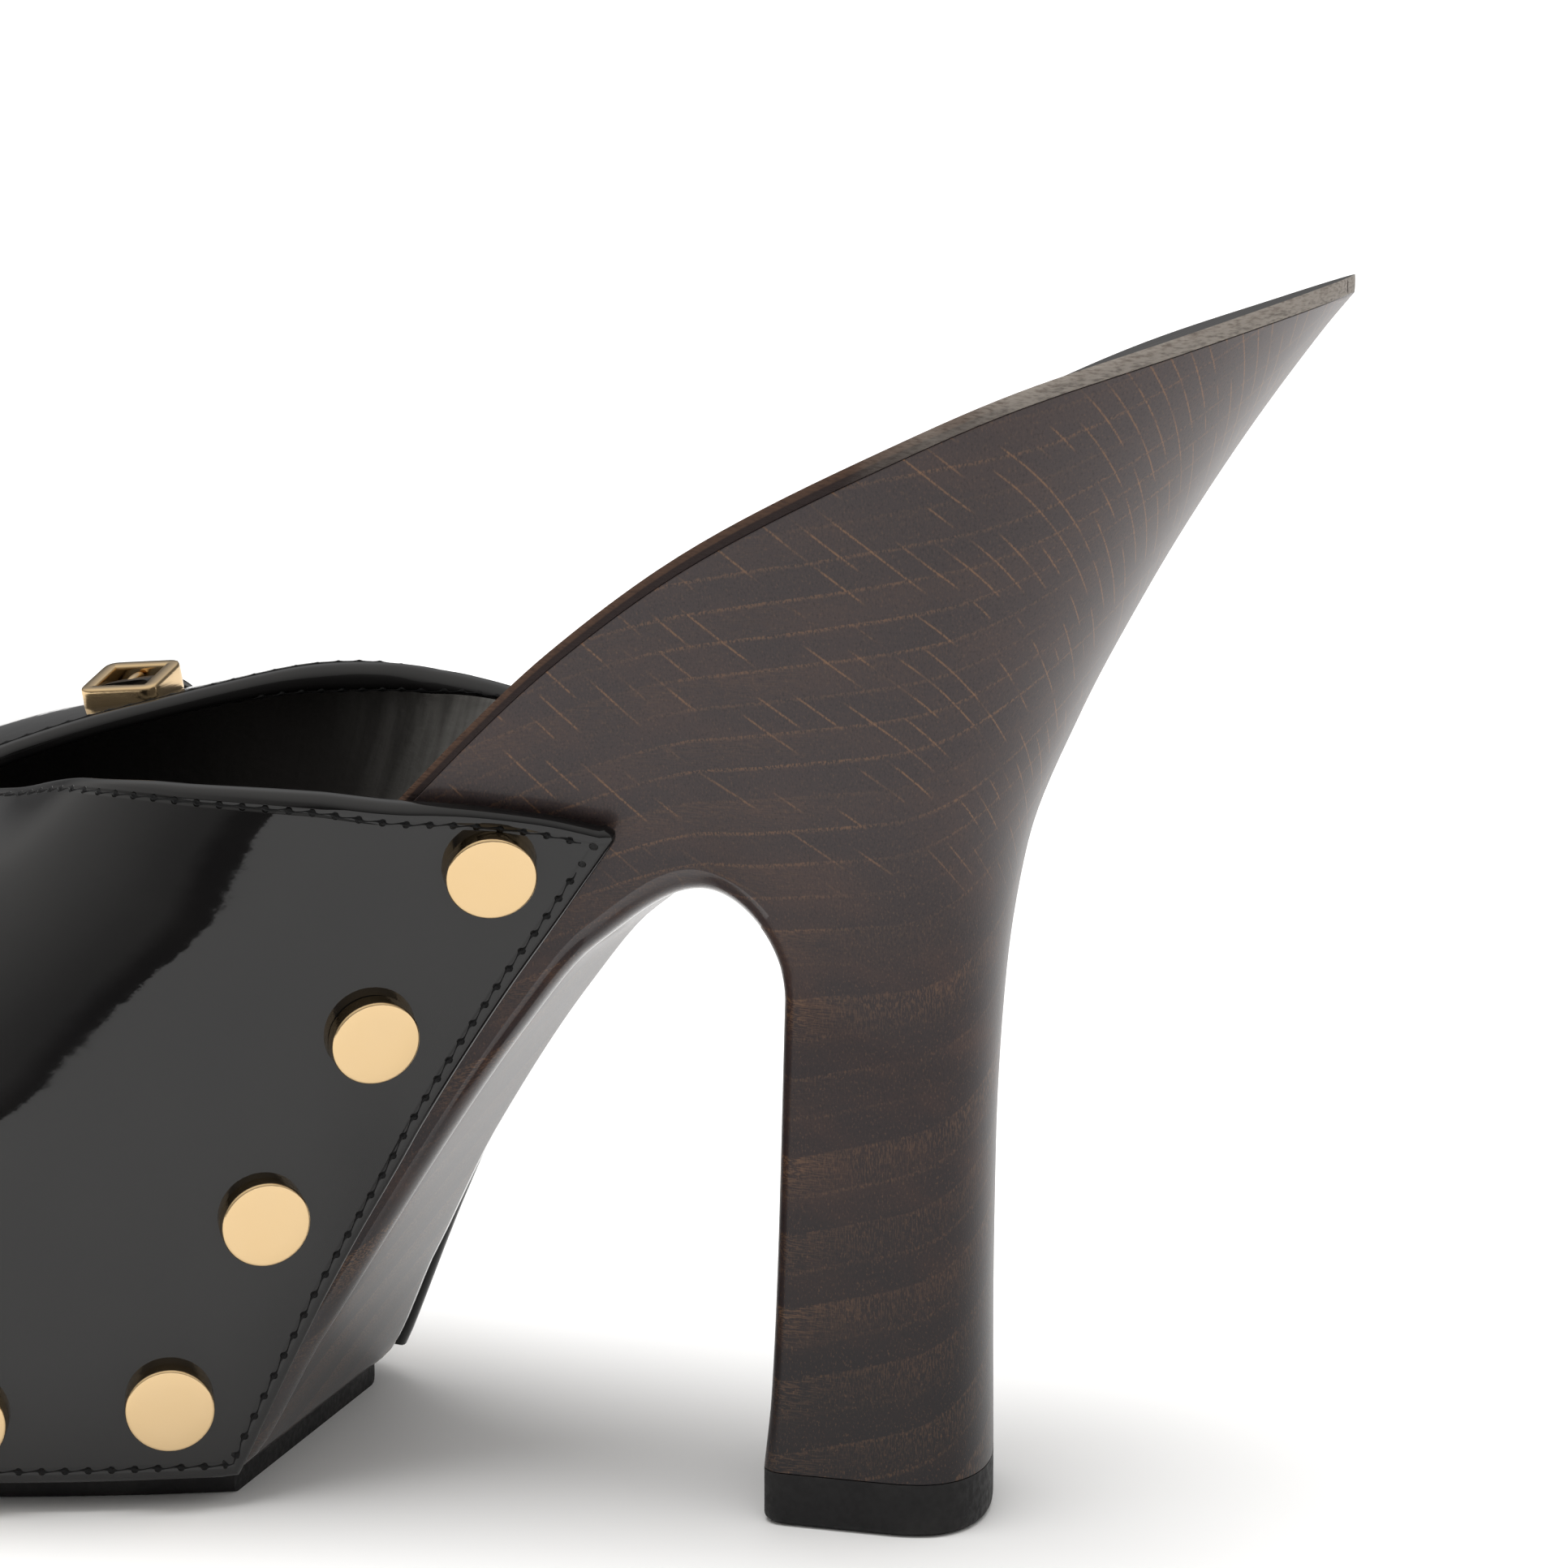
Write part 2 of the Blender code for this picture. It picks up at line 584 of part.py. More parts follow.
def vamp_point(down, y):
    """Outer face of the upper, at a distance from its crown down the inner side, and its facing."""

    def inner_face(at_down, at_y):
        line, _ = upper_half(float(at_y), INNER)
        run = np.concatenate([[0.0], np.cumsum(np.hypot(*np.diff(line, axis=0).T))])
        spot = run[np.argmax(line[:, 1])] - at_down
        return np.array([np.interp(spot, run, line[:, 0]), at_y, np.interp(spot, run, line[:, 1])])

    d = 0.6
    slope_down = inner_face(down + d, y) - inner_face(down - d, y)
    slope_y = inner_face(down, y + d) - inner_face(down, y - d)
    facing = np.cross(slope_y, slope_down)
    facing /= np.linalg.norm(facing)
    return inner_face(down, y) + facing * LEATHER, facing


def make_strap(finish, parent):
    """Leather band from the buckle over the crown and down the inner side."""
    low, high = [], []
    for down in np.linspace(STRAP_START, STRAP_END, STRAP_ROWS):
        row = [vamp_point(down, STRAP_Y + STRAP_WIDTH * share) for share in (-0.5, 0.0, 0.5)]
        low.append([foot + facing * STRAP_GAP for foot, facing in row])
        high.append([foot + facing * (STRAP_GAP + STRAP_THICKNESS) for foot, facing in row])
    low, high = np.array(low), np.array(high)
    skin = Skin()
    skin.grid(low)
    skin.grid(high)
    for end in (0, -1):
        skin.grid(np.stack([low[end], high[end]]))
        skin.grid(np.stack([low[:, end], high[:, end]]))
    return skin.build("strap", finish, parent)


def round_bar(mesh, diameter, length, sides):
    """Fill a mesh with a round bar that stands along z about its middle."""
    bar = bmesh.new()
    bmesh.ops.create_cone(bar, cap_ends=True, segments=sides, radius1=diameter / 2 * MM,
                          radius2=diameter / 2 * MM, depth=length * MM)
    bar.to_mesh(mesh)
    bar.free()


def block(name, size, centre, hidden=False):
    """Rectangular block in the buckle's own frame, as a new object."""
    mesh = bpy.data.meshes.new(name)
    cube = bmesh.new()
    bmesh.ops.create_cube(cube, size=1.0)
    bmesh.ops.scale(cube, vec=Vector(size) * MM, verts=cube.verts)
    bmesh.ops.translate(cube, vec=Vector(centre) * MM, verts=cube.verts)
    cube.to_mesh(mesh)
    cube.free()
    piece = bpy.data.objects.new(name, mesh)
    bpy.context.scene.collection.objects.link(piece)
    piece.hide_render = hidden
    if hidden:
        piece.display_type = "WIRE"
    return piece


def make_buckle(finish, parent):
    """Square frame over the strap's end, with a prong across its window."""
    foot, _ = vamp_point(BUCKLE_PLACE, STRAP_Y)
    turn = Matrix.Rotation(BUCKLE_RISE, 4, "X") @ Matrix.Rotation(BUCKLE_TURN, 4, "Y")
    seat = bpy.data.objects.new("buckle_seat", None)
    bpy.context.scene.collection.objects.link(seat)
    seat.matrix_world = Matrix.Translation(Vector(foot * MM)) @ turn
    seat.parent = parent
    middle = (0.0, 0.0, BUCKLE_LIFT + BUCKLE_HEIGHT / 2)
    frame = block("buckle_frame", (BUCKLE_LENGTH, BUCKLE_WIDTH, BUCKLE_HEIGHT), middle)
    frame.data.materials.append(finish)
    frame.parent = seat
    inner_length, inner_width = BUCKLE_LENGTH - 2 * BUCKLE_BAR, BUCKLE_WIDTH - 2 * BUCKLE_BAR
    window = block("buckle_window", (inner_length, inner_width, 3 * BUCKLE_HEIGHT), middle, hidden=True)
    window.parent = seat
    rounding = frame.modifiers.new("round", "BEVEL")
    rounding.width = BUCKLE_ROUND * MM
    rounding.segments = 2
    cut = frame.modifiers.new("window", "BOOLEAN")
    cut.operation = "DIFFERENCE"
    cut.object = window
    mesh = bpy.data.meshes.new("buckle_prong")
    round_bar(mesh, PRONG_DIAMETER, inner_length - 2 * GAP, PRONG_SIDES)
    prong = place("buckle_prong", mesh, finish, seat)
    prong.rotation_euler = (0.0, math.pi / 2, 0.0)
    prong.location = (0.0, 0.0, (BUCKLE_LIFT + PRONG_LIFT) * MM)


def main():
    """Build every piece of the clog."""
    for old in list(bpy.data.objects):
        bpy.data.objects.remove(old, do_unlink=True)
    clog = bpy.data.objects.new("clog", None)
    bpy.context.scene.collection.objects.link(clog)
    wood = material("stained_wood", (0.045, 0.028, 0.022), 0.45)
    rubber = material("black_rubber", (0.025, 0.023, 0.025), 0.6)
    patent = material("patent_leather", (0.008, 0.008, 0.009), 0.08)
    lining = material("insole_leather", (0.03, 0.028, 0.028), 0.5)
    gold = material("polished_gold", (0.83, 0.60, 0.25), 0.15, 1.0)
    make_sole(wood, clog)
    make_heel_piece(rubber, clog)
    make_outsole(rubber, clog)
    make_insole(lining, clog)
    make_upper(patent, clog)
    make_studs(gold, clog)
    make_strap(patent, clog)
    make_buckle(gold, clog)


main()
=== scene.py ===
"""Looks of a left clog on a high wooden sole: dark lacquered wood, a black patent upper nailed on
with gold studs, a small gold buckle, and a plain pale studio floor.

Lengths are millimetres in the classes and become metres in the meshes. +Z is up, the toe points
to -Y, the outer side of the foot is +X and the inner side is -X.
"""
import json
import logging
import math
from dataclasses import dataclass
from enum import Enum
from functools import cached_property, reduce
from typing import Any, Sequence

import bmesh
import bpy
import numpy as np
from mathutils import Matrix, Vector

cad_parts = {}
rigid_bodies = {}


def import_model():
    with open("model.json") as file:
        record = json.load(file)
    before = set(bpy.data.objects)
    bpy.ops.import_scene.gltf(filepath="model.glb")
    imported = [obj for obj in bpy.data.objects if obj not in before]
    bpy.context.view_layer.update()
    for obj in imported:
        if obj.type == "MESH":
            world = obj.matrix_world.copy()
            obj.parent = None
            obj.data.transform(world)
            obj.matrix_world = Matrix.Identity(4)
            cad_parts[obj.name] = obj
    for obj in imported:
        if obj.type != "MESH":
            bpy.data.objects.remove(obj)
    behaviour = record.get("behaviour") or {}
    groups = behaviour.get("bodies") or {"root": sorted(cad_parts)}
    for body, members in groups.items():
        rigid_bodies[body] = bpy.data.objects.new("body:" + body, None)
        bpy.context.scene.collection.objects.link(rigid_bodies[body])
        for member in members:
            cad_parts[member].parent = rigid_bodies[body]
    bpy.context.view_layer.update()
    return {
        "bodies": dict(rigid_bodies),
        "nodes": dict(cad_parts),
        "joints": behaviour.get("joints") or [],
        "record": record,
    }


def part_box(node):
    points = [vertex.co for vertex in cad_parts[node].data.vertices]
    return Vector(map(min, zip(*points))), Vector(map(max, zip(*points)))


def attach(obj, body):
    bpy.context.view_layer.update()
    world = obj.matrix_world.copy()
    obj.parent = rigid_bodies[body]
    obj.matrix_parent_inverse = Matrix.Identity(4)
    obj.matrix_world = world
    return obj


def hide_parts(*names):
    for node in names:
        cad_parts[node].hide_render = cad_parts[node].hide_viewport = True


LOG = logging.getLogger("clog")
MM = 0.001
WELD = 0.004
CLOSE = 1e-6
FAR_AWAY = 99.0

Array = np.ndarray
Triple = tuple[float, float, float]
Material = bpy.types.Material
Piece = bpy.types.Object
Socket = bpy.types.NodeSocket


class Side(Enum):
    """The two long sides of the shoe, with the sign of their x."""

    OUTER = 1
    INNER = -1


class Slot(Enum):
    """Finishes that the record lets a scene repaint."""

    WOOD = "stained_wood"
    RUBBER = "black_rubber"
    PATENT = "patent_leather"
    INSOLE = "insole_leather"
    GOLD = "polished_gold"


class Table:
    """Rows of numbers under named columns, read as a smooth curve along the first column."""

    def __init__(self, columns: str, *rows: tuple[float, ...]) -> None:
        """Keep the rows as columns.

        Args:
            columns: names of the columns, the key column first.
            rows: numbers of each row.
        """
        self.names = columns.split()
        self.values = dict(zip(self.names, np.array(rows, float).T))

    def at(self, name: str, x: Array | float) -> Array:
        """Cubic curve through the rows that never overshoots them.

        Each row's slope is the harmonic mean of the rises beside it, or none where they differ in sign.

        Args:
            name: column to read.
            x: places along the key column.

        Returns:
            The column's values there.
        """
        knots, values = self.values[self.names[0]], self.values[name]
        x = np.asarray(x, float)
        step = np.diff(knots)
        rise = np.diff(values) / step
        slope = np.zeros(len(knots))
        both = rise[:-1] * rise[1:]
        np.divide(2 * both, rise[:-1] + rise[1:], out=slope[1:-1], where=both > 0)
        slope[0], slope[-1] = rise[0], rise[-1]
        row = np.clip(np.searchsorted(knots, x) - 1, 0, len(step) - 1)
        t = np.clip((x - knots[row]) / step[row], 0.0, 1.0)
        s, h = 1 - t, step[row]
        ends = s * s * (1 + 2 * t) * values[row] + t * t * (1 + 2 * s) * values[row + 1]
        return ends + t * s * h * (s * slope[row] - t * slope[row + 1])


# Cross sections of the wood from the toe to the back of the seat. bottom is the underside, and
# behind the arch it is the height where the column starts to widen.
SECTIONS = Table(
    "y top bottom outer_top outer_low inner_top inner_low flare",
    (-104.6, 26.0, 9.5, 36.0, 33.0, 36.0, 33.0, 1.0),
    (-92.0, 24.0, 6.0, 36.5, 33.5, 36.5, 33.5, 1.0),
    (-78.0, 22.6, 3.6, 37.0, 34.0, 37.0, 34.0, 1.0),
    (-62.0, 22.0, 2.5, 37.5, 34.5, 37.5, 34.5, 1.0),
    (-45.0, 22.2, 2.5, 37.5, 34.0, 37.0, 33.5, 1.0),
    (-30.0, 23.9, 2.5, 36.5, 32.5, 35.5, 31.5, 1.0),
    (-17.0, 29.0, 2.5, 34.5, 29.8, 33.5, 29.0, 1.0),
    (-4.0, 38.6, 2.5, 31.5, 25.5, 31.0, 25.0, 1.0),
    (5.4, 47.6, 2.5, 28.5, 21.5, 28.5, 21.5, 1.0),
    (13.6, 56.2, 15.6, 26.0, 17.4, 26.0, 17.4, 1.0),
    (22.3, 65.6, 30.8, 23.8, 12.8, 23.8, 12.8, 1.0),
    (32.5, 76.3, 46.1, 22.7, 11.5, 22.7, 11.5, 1.0),
    (39.5, 82.7, 54.4, 23.0, 11.6, 23.0, 11.6, 1.0),
    (50.4, 90.9, 60.6, 24.0, 12.2, 24.0, 12.2, 1.0),
    (58.0, 95.5, 54.0, 24.8, 12.6, 24.8, 12.6, 1.1),
    (71.0, 102.1, 46.0, 25.9, 12.8, 25.9, 12.8, 1.2),
    (84.0, 108.0, 42.0, 26.3, 12.8, 26.3, 12.8, 1.25),
    (98.0, 113.0, 40.0, 26.4, 12.8, 26.4, 12.8, 1.25),
    (108.5, 116.7, 40.0, 26.4, 12.8, 26.4, 12.8, 1.25),
)

# Side view of the heel: its back line and its breast at each height
BACK_LINE = Table(
    "z y",
    (5.3, 76.35), (20.0, 76.25), (36.0, 76.4), (51.0, 77.15), (64.0, 78.9),
    (76.4, 83.4), (89.0, 89.8), (101.0, 97.05), (113.0, 105.5), (116.7, 108.5),
)
BREAST_LINE = Table("z y", (5.3, 56.7), (12.0, 57.3), (25.0, 57.8), (50.5, 58.5))

# Crown of the upper over the foot: where each half would top out at each cross section
CROWN = Table(
    "y outer_x outer_z inner_x inner_z",
    (-104.6, -5.0, 31.0, -5.0, 31.0),
    (-100.0, -5.0, 36.0, -5.0, 36.0),
    (-92.0, -5.5, 41.0, -5.5, 41.0),
    (-78.0, -7.0, 46.5, -7.0, 46.5),
    (-62.0, -10.0, 54.0, -10.0, 54.0),
    (-45.0, -15.0, 62.1, -15.0, 62.1),
    (-36.0, -17.0, 65.6, -17.0, 65.6),
    (-27.0, -13.0, 68.0, -15.0, 68.2),
    (-16.0, -8.0, 71.0, -13.0, 70.4),
    (0.0, 0.0, 84.0, -20.0, 72.8),
    (10.0, 4.0, 92.0, -22.0, 72.5),
    (26.0, 8.0, 100.0, -16.0, 86.0),
    (43.0, 8.0, 104.0, -8.0, 98.0),
)

# Edge of the throat on each side. In front of the vertex both halves meet on the same line.
THROAT = Table(
    "y outer_x outer_z inner_x inner_z",
    (-104.6, -5.0, 60.0, -5.0, 60.0),
    (-62.0, 1.0, 60.0, 1.0, 60.0),
    (-36.0, 6.0, 62.7, 6.0, 62.7),
    (-30.0, 9.2, 64.1, 6.4, 63.45),
    (-26.0, 11.2, 64.9, 5.0, 64.3),
    (-21.6, 13.0, 66.0, 1.0, 65.7),
    (-15.0, 15.9, 68.2, -5.9, 68.5),
    (-8.0, 21.2, 68.7, -10.9, 70.7),
    (0.0, 25.3, 69.3, -16.0, 72.4),
    (5.5, 26.5, 70.5, -22.0, 71.2),
    (12.0, 26.8, 70.95, -24.0, 70.0),
    (26.0, 22.0, 70.45, -22.5, 70.0),
    (43.0, 15.5, 69.5, -15.5, 69.2),
)

# Rear edge of each wing, in side view
WING_EDGE = Table("y z", (6.4, 4.0), (12.0, 17.0), (18.7, 30.6), (28.9, 47.6), (43.0, 66.8))

# Soft troughs and ridges of the vamp in side view: ends of each, half width and height
CREASES = Table(
    "y0 z0 y1 z1 width height",
    (-52.0, 30.0, -30.0, 56.0, 7.0, -0.18),
    (-30.0, 34.0, -14.0, 58.0, 6.0, 0.14),
    (-12.0, 24.0, 4.0, 60.0, 7.0, -0.12),
    (-84.0, 26.0, -62.0, 44.0, 8.0, -0.15),
    (8.0, 40.0, 26.0, 62.0, 5.0, 0.10),
    (-34.0, 33.0, -4.0, 33.0, 10.0, 0.90),
    (4.0, 75.0, 22.0, 75.0, 8.0, 0.95),
)


def superellipse_end(share: Array, power: float) -> Array:
    """Quarter of a superellipse: 1 at share 0, falling to 0 at share 1, squarer with more power."""
    return (1.0 - np.clip(share, 0.0, 1.0) ** power) ** (1.0 / power)


def squircle(turn: Array, power: float) -> tuple[Array, Array]:
    """Square with rounded corners: cosine and sine of each turn, with their sizes raised to a power."""
    return tuple(np.sign(wave) * np.abs(wave) ** power for wave in (np.cos(turn), np.sin(turn)))


def quarter_round(radius: float, depth: Array) -> Array:
    """How far a quarter circle draws a face in, at depths into it from 0 to its radius."""
    return radius - np.sqrt(radius ** 2 - np.clip(depth, 0.0, radius) ** 2)


def soft_step(share: Array) -> Array:
    """Smooth rise from 0 at share 0 to 1 at share 1."""
    share = np.clip(share, 0.0, 1.0)
    return share * share * (3 - 2 * share)


def net(x: Array, y: Array, z: Array) -> Array:
    """Points with x, y and z last, from coordinates that fit together."""
    return np.stack(np.broadcast_arrays(x, y, z), axis=-1).astype(float)


def unit(vectors: Array) -> Array:
    """Vectors of length 1 in the same directions."""
    return vectors / np.maximum(np.linalg.norm(vectors, axis=-1, keepdims=True), 1e-9)


def run_along(line: Array) -> Array:
    """Distance along polylines from their first points."""
    steps = np.linalg.norm(np.diff(line, axis=-2), axis=-1)
    return np.insert(np.cumsum(steps, axis=-1), 0, 0.0, axis=-1)


def run_to_top(line: Array, run: Array) -> Array:
    """Distance along each section line of x and z to its highest point."""
    return np.take_along_axis(run, line[..., 1].argmax(axis=1)[:, None], 1)


def sample(line: Array, run: Array, spots: Array) -> Array:
    """Points at given distances along polylines, row by row.

    Args:
        line: array of lines, points and coordinates.
        run: distance of each point along its line.
        spots: distances wanted on each line.

    Returns:
        Array of lines, spots and coordinates.
    """
    after = (run[:, None, :] <= spots[:, :, None]).sum(-1)
    low = np.clip(after - 1, 0, run.shape[1] - 2)
    start, end = (np.take_along_axis(run, low + k, 1) for k in (0, 1))
    share = ((spots - start) / np.maximum(end - start, 1e-9))[:, :, None]
    first, last = (np.take_along_axis(line, (low + k)[:, :, None], 1) for k in (0, 1))
    return first + (last - first) * np.clip(share, -0.5, 1.5)


def facing_of(grid: Array, sign: float) -> Array:
    """Unit vectors across a net: cross products of its steps along rows and columns, times a sign."""
    return sign * unit(np.cross(np.gradient(grid, axis=0), np.gradient(grid, axis=1)))


@dataclass
class Draft:
    """Gathers the nets of one piece, in millimetres, and welds them into a mesh."""

    name: str

    def __post_init__(self) -> None:
        """Start with no nets."""
        self.points: list[Array] = []
        self.faces: list[Array] = []
        self.finishes: list[Array] = []
        self.maps: dict[str, list[Array]] = {}
        self.count = 0

    def add(self, grid: Array, finish: int = 0, maps: dict[str, Array] | None = None) -> None:
        """Add a net: each cell between neighbouring rows and columns becomes a face.

        Args:
            grid: rows, columns and x y z, or a stack of such nets.
            finish: number of the piece's material for these faces.
            maps: named maps, each with two values for every point of the net.
        """
        stack = grid.reshape((-1,) + grid.shape[-3:])
        index = self.count + np.arange(stack[..., 0].size).reshape(stack.shape[:3])
        corners = (index[:, :-1, :-1], index[:, :-1, 1:], index[:, 1:, 1:], index[:, 1:, :-1])
        cells = np.stack(corners, axis=-1).reshape(-1, 4)
        self.points.append(stack.reshape(-1, 3))
        self.faces.append(cells)
        self.finishes.append(np.full(len(cells), finish))
        for name, values in (maps or {}).items():
            blank = np.full((self.count, 2), FAR_AWAY)
            self.maps.setdefault(name, [blank]).append(values.reshape(-1, 2))
        self.count += index.size
        for name, parts in self.maps.items():
            short = self.count - sum(len(part) for part in parts)
            parts.append(np.full((short, 2), FAR_AWAY))

    def span(self, halves: dict[Side, Array], edge: Any, count: int, finish: int = 0) -> None:
        """Close a gap by straight rows between the same edge of the inner and the outer half.

        Args:
            halves: nets of both halves.
            edge: index of the edge in them.
            count: points of each row.
            finish: number of the piece's material for these faces.
        """
        first, last = (halves[side][edge][:, None] for side in (Side.INNER, Side.OUTER))
        self.add(first + (last - first) * np.linspace(0.0, 1.0, count)[None, :, None], finish)

    def build(self, materials: Sequence[Material], slot: Slot, nodes: Sequence[str] = (),
              smooth_angle: float = 40.0) -> Piece:
        """Make the piece, weld it, turn its faces outwards and tie it to the frame.

        Args:
            materials: the piece's finishes in order.
            slot: not used.
            nodes: CAD nodes that it stands for.
            smooth_angle: edges sharper than this, in degrees, stay sharp.

        Returns:
            The finished object.
        """
        points, faces = np.concatenate(self.points) * MM, np.concatenate(self.faces)
        mesh = bpy.data.meshes.new(self.name)
        mesh.from_pydata(points.tolist(), [], faces.tolist())
        mesh.polygons.foreach_set("material_index", np.concatenate(self.finishes).astype(np.int32))
        for name, parts in self.maps.items():
            layer = mesh.uv_layers.new(name=name)
            layer.uv.foreach_set("vector", np.concatenate(parts)[faces.ravel()].ravel().astype(np.float32))
        work = bmesh.new()
        work.from_mesh(mesh)
        bmesh.ops.remove_doubles(work, verts=work.verts, dist=WELD * MM)
        bmesh.ops.dissolve_degenerate(work, edges=work.edges, dist=WELD * MM / 2)
        bmesh.ops.recalc_face_normals(work, faces=work.faces)
        work.to_mesh(mesh)
        work.free()
        for material in materials:
            mesh.materials.append(material)
        mesh.shade_smooth()
        mesh.set_sharp_from_angle(angle=math.radians(smooth_angle))
        piece = bpy.data.objects.new(self.name, mesh)
        bpy.context.scene.collection.objects.link(piece)
        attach(piece, "root")
        if nodes:
            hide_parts(*nodes)
        LOG.info("%s: %d faces", self.name, len(mesh.polygons))
        return piece


class Graph:
    """Short hand for the nodes of a material or of the surroundings."""

    def __init__(self, tree: bpy.types.NodeTree, space: str) -> None:
        """Keep the tree, and the coordinates that its textures read.

        Args:
            tree: nodes of a material or a world.
            space: name of the coordinates.
        """
        self.tree = tree
        self.places = self.node("TexCoord").outputs[space]

    def put(self, value: Any, socket: Socket) -> None:
        """Link an output to a socket, or set the socket to a value. Colours become opaque.

        Args:
            value: output, number, vector or colour.
            socket: input to fill.
        """
        if isinstance(value, Socket):
            self.tree.links.new(value, socket)
        else:
            socket.default_value = (*value, 1.0) if socket.type == "RGBA" else value

    def node(self, kind: str, *inputs: Any, **settings: Any) -> bpy.types.Node:
        """Add a node.

        Args:
            kind: its type, without the leading ShaderNode.
            inputs: outputs or values for its sockets in order, None to leave one as it is.
            settings: properties to set first.

        Returns:
            The node.
        """
        node = self.tree.nodes.new("ShaderNode" + kind)
        for name, value in settings.items():
            setattr(node, name, value)
        for value, socket in zip(inputs, node.inputs):
            if value is not None:
                self.put(value, socket)
        return node

    def math(self, operation: str, *values: Any) -> Socket:
        """Result of a Math node on outputs or numbers."""
        return self.node("Math", *values, operation=operation).outputs[0]

    def plus(self, *values: Any) -> Socket:
        """Sum of two outputs or numbers."""
        return self.math("ADD", *values)

    def minus(self, *values: Any) -> Socket:
        """Difference of two outputs or numbers."""
        return self.math("SUBTRACT", *values)

    def times(self, *values: Any) -> Socket:
        """Product of several outputs or numbers."""
        return reduce(lambda made, value: self.math("MULTIPLY", made, value), values)

    def period(self, value: Socket, pitch: float) -> tuple[Socket, Socket]:
        """Place inside a repeating period from 0 to 1, and the period's number."""
        periods = self.math("DIVIDE", value, pitch)
        return self.math("FRACT", periods), self.math("FLOOR", periods)

    def along(self, *way: float) -> Socket:
        """Millimetres along a direction through the piece, times the direction's length."""
        scaled = tuple(value / MM for value in way)
        return self.node("VectorMath", self.places, scaled, operation="DOT_PRODUCT").outputs["Value"]

    def noise(self, scale: float, detail: float, vector: Socket | None = None) -> Socket:
        """Cloudy noise between 0 and 1, read at the tree's coordinates or at a vector."""
        place = self.places if vector is None else vector
        return self.node("TexNoise", place, None, scale, detail).outputs["Fac"]

    def grain(self, detail: float, scales: Sequence[float], *ways: Any) -> Socket:
        """Noise with its own number of features for each millimetre along each of some ways."""
        parts = [self.times(way, scale) for way, scale in zip(ways, scales)]
        return self.noise(1.0, detail, self.node("CombineXYZ", *parts).outputs[0])

    def step(self, value: Any, low: float, high: float, before: float = 0.0, after: float = 1.0) -> Socket:
        """Soft step from the level before to the level after, while a value goes from low to high."""
        levels = low, high, before, after
        return self.node("MapRange", value, *levels, interpolation_type="SMOOTHSTEP").outputs[0]

    def blend(self, share: Any, first: Any, second: Any) -> Socket:
        """Mix of two colours by the second one's share. The colour sockets come after five others."""
        return self.node("Mix", share, *[None] * 5, first, second, data_type="RGBA").outputs[2]


class Paint(Graph):
    """Nodes of a material with a Principled shader."""

    def __init__(self, name: str) -> None:
        """Start the material.

        Args:
            name: the material's name.
        """
        self.material = bpy.data.materials.new(name)
        self.material.use_nodes = True
        super().__init__(self.material.node_tree, "Object")
        self.shader = self.tree.nodes["Principled BSDF"]

    @cached_property
    def axes(self) -> tuple[Socket, Socket, Socket]:
        """Millimetres across, along and up the shoe."""
        return self.along(1, 0, 0), self.along(0, 1, 0), self.along(0, 0, 1)

    def map(self, name: str) -> tuple[Socket, Socket]:
        """Outputs of one of the piece's own maps: along an edge and away from it."""
        place = self.node("UVMap", uv_map=name).outputs["UV"]
        return tuple(self.node("SeparateXYZ", place).outputs[:2])

    def bump(self, height: Socket, depth: float) -> None:
        """Raise the surface by a height between 0 and 1.

        Args:
            height: the height's output.
            depth: millimetres at height 1.
        """
        node = self.node("Bump")
        node.inputs["Distance"].default_value = depth * MM
        self.put(height, node.inputs["Height"])
        self.put(node.outputs["Normal"], self.shader.inputs["Normal"])

    def dress(self, **sockets: Any) -> Material:
        """Fill the shader's sockets.

        Args:
            sockets: outputs or values by the sockets' names, with underscores for spaces.

        Returns:
            The material.
        """
        for name, value in sockets.items():
            words = name.replace("_", " ")
            self.put(value, next(s for s in self.shader.inputs if s.name.lower() == words))
        return self.material


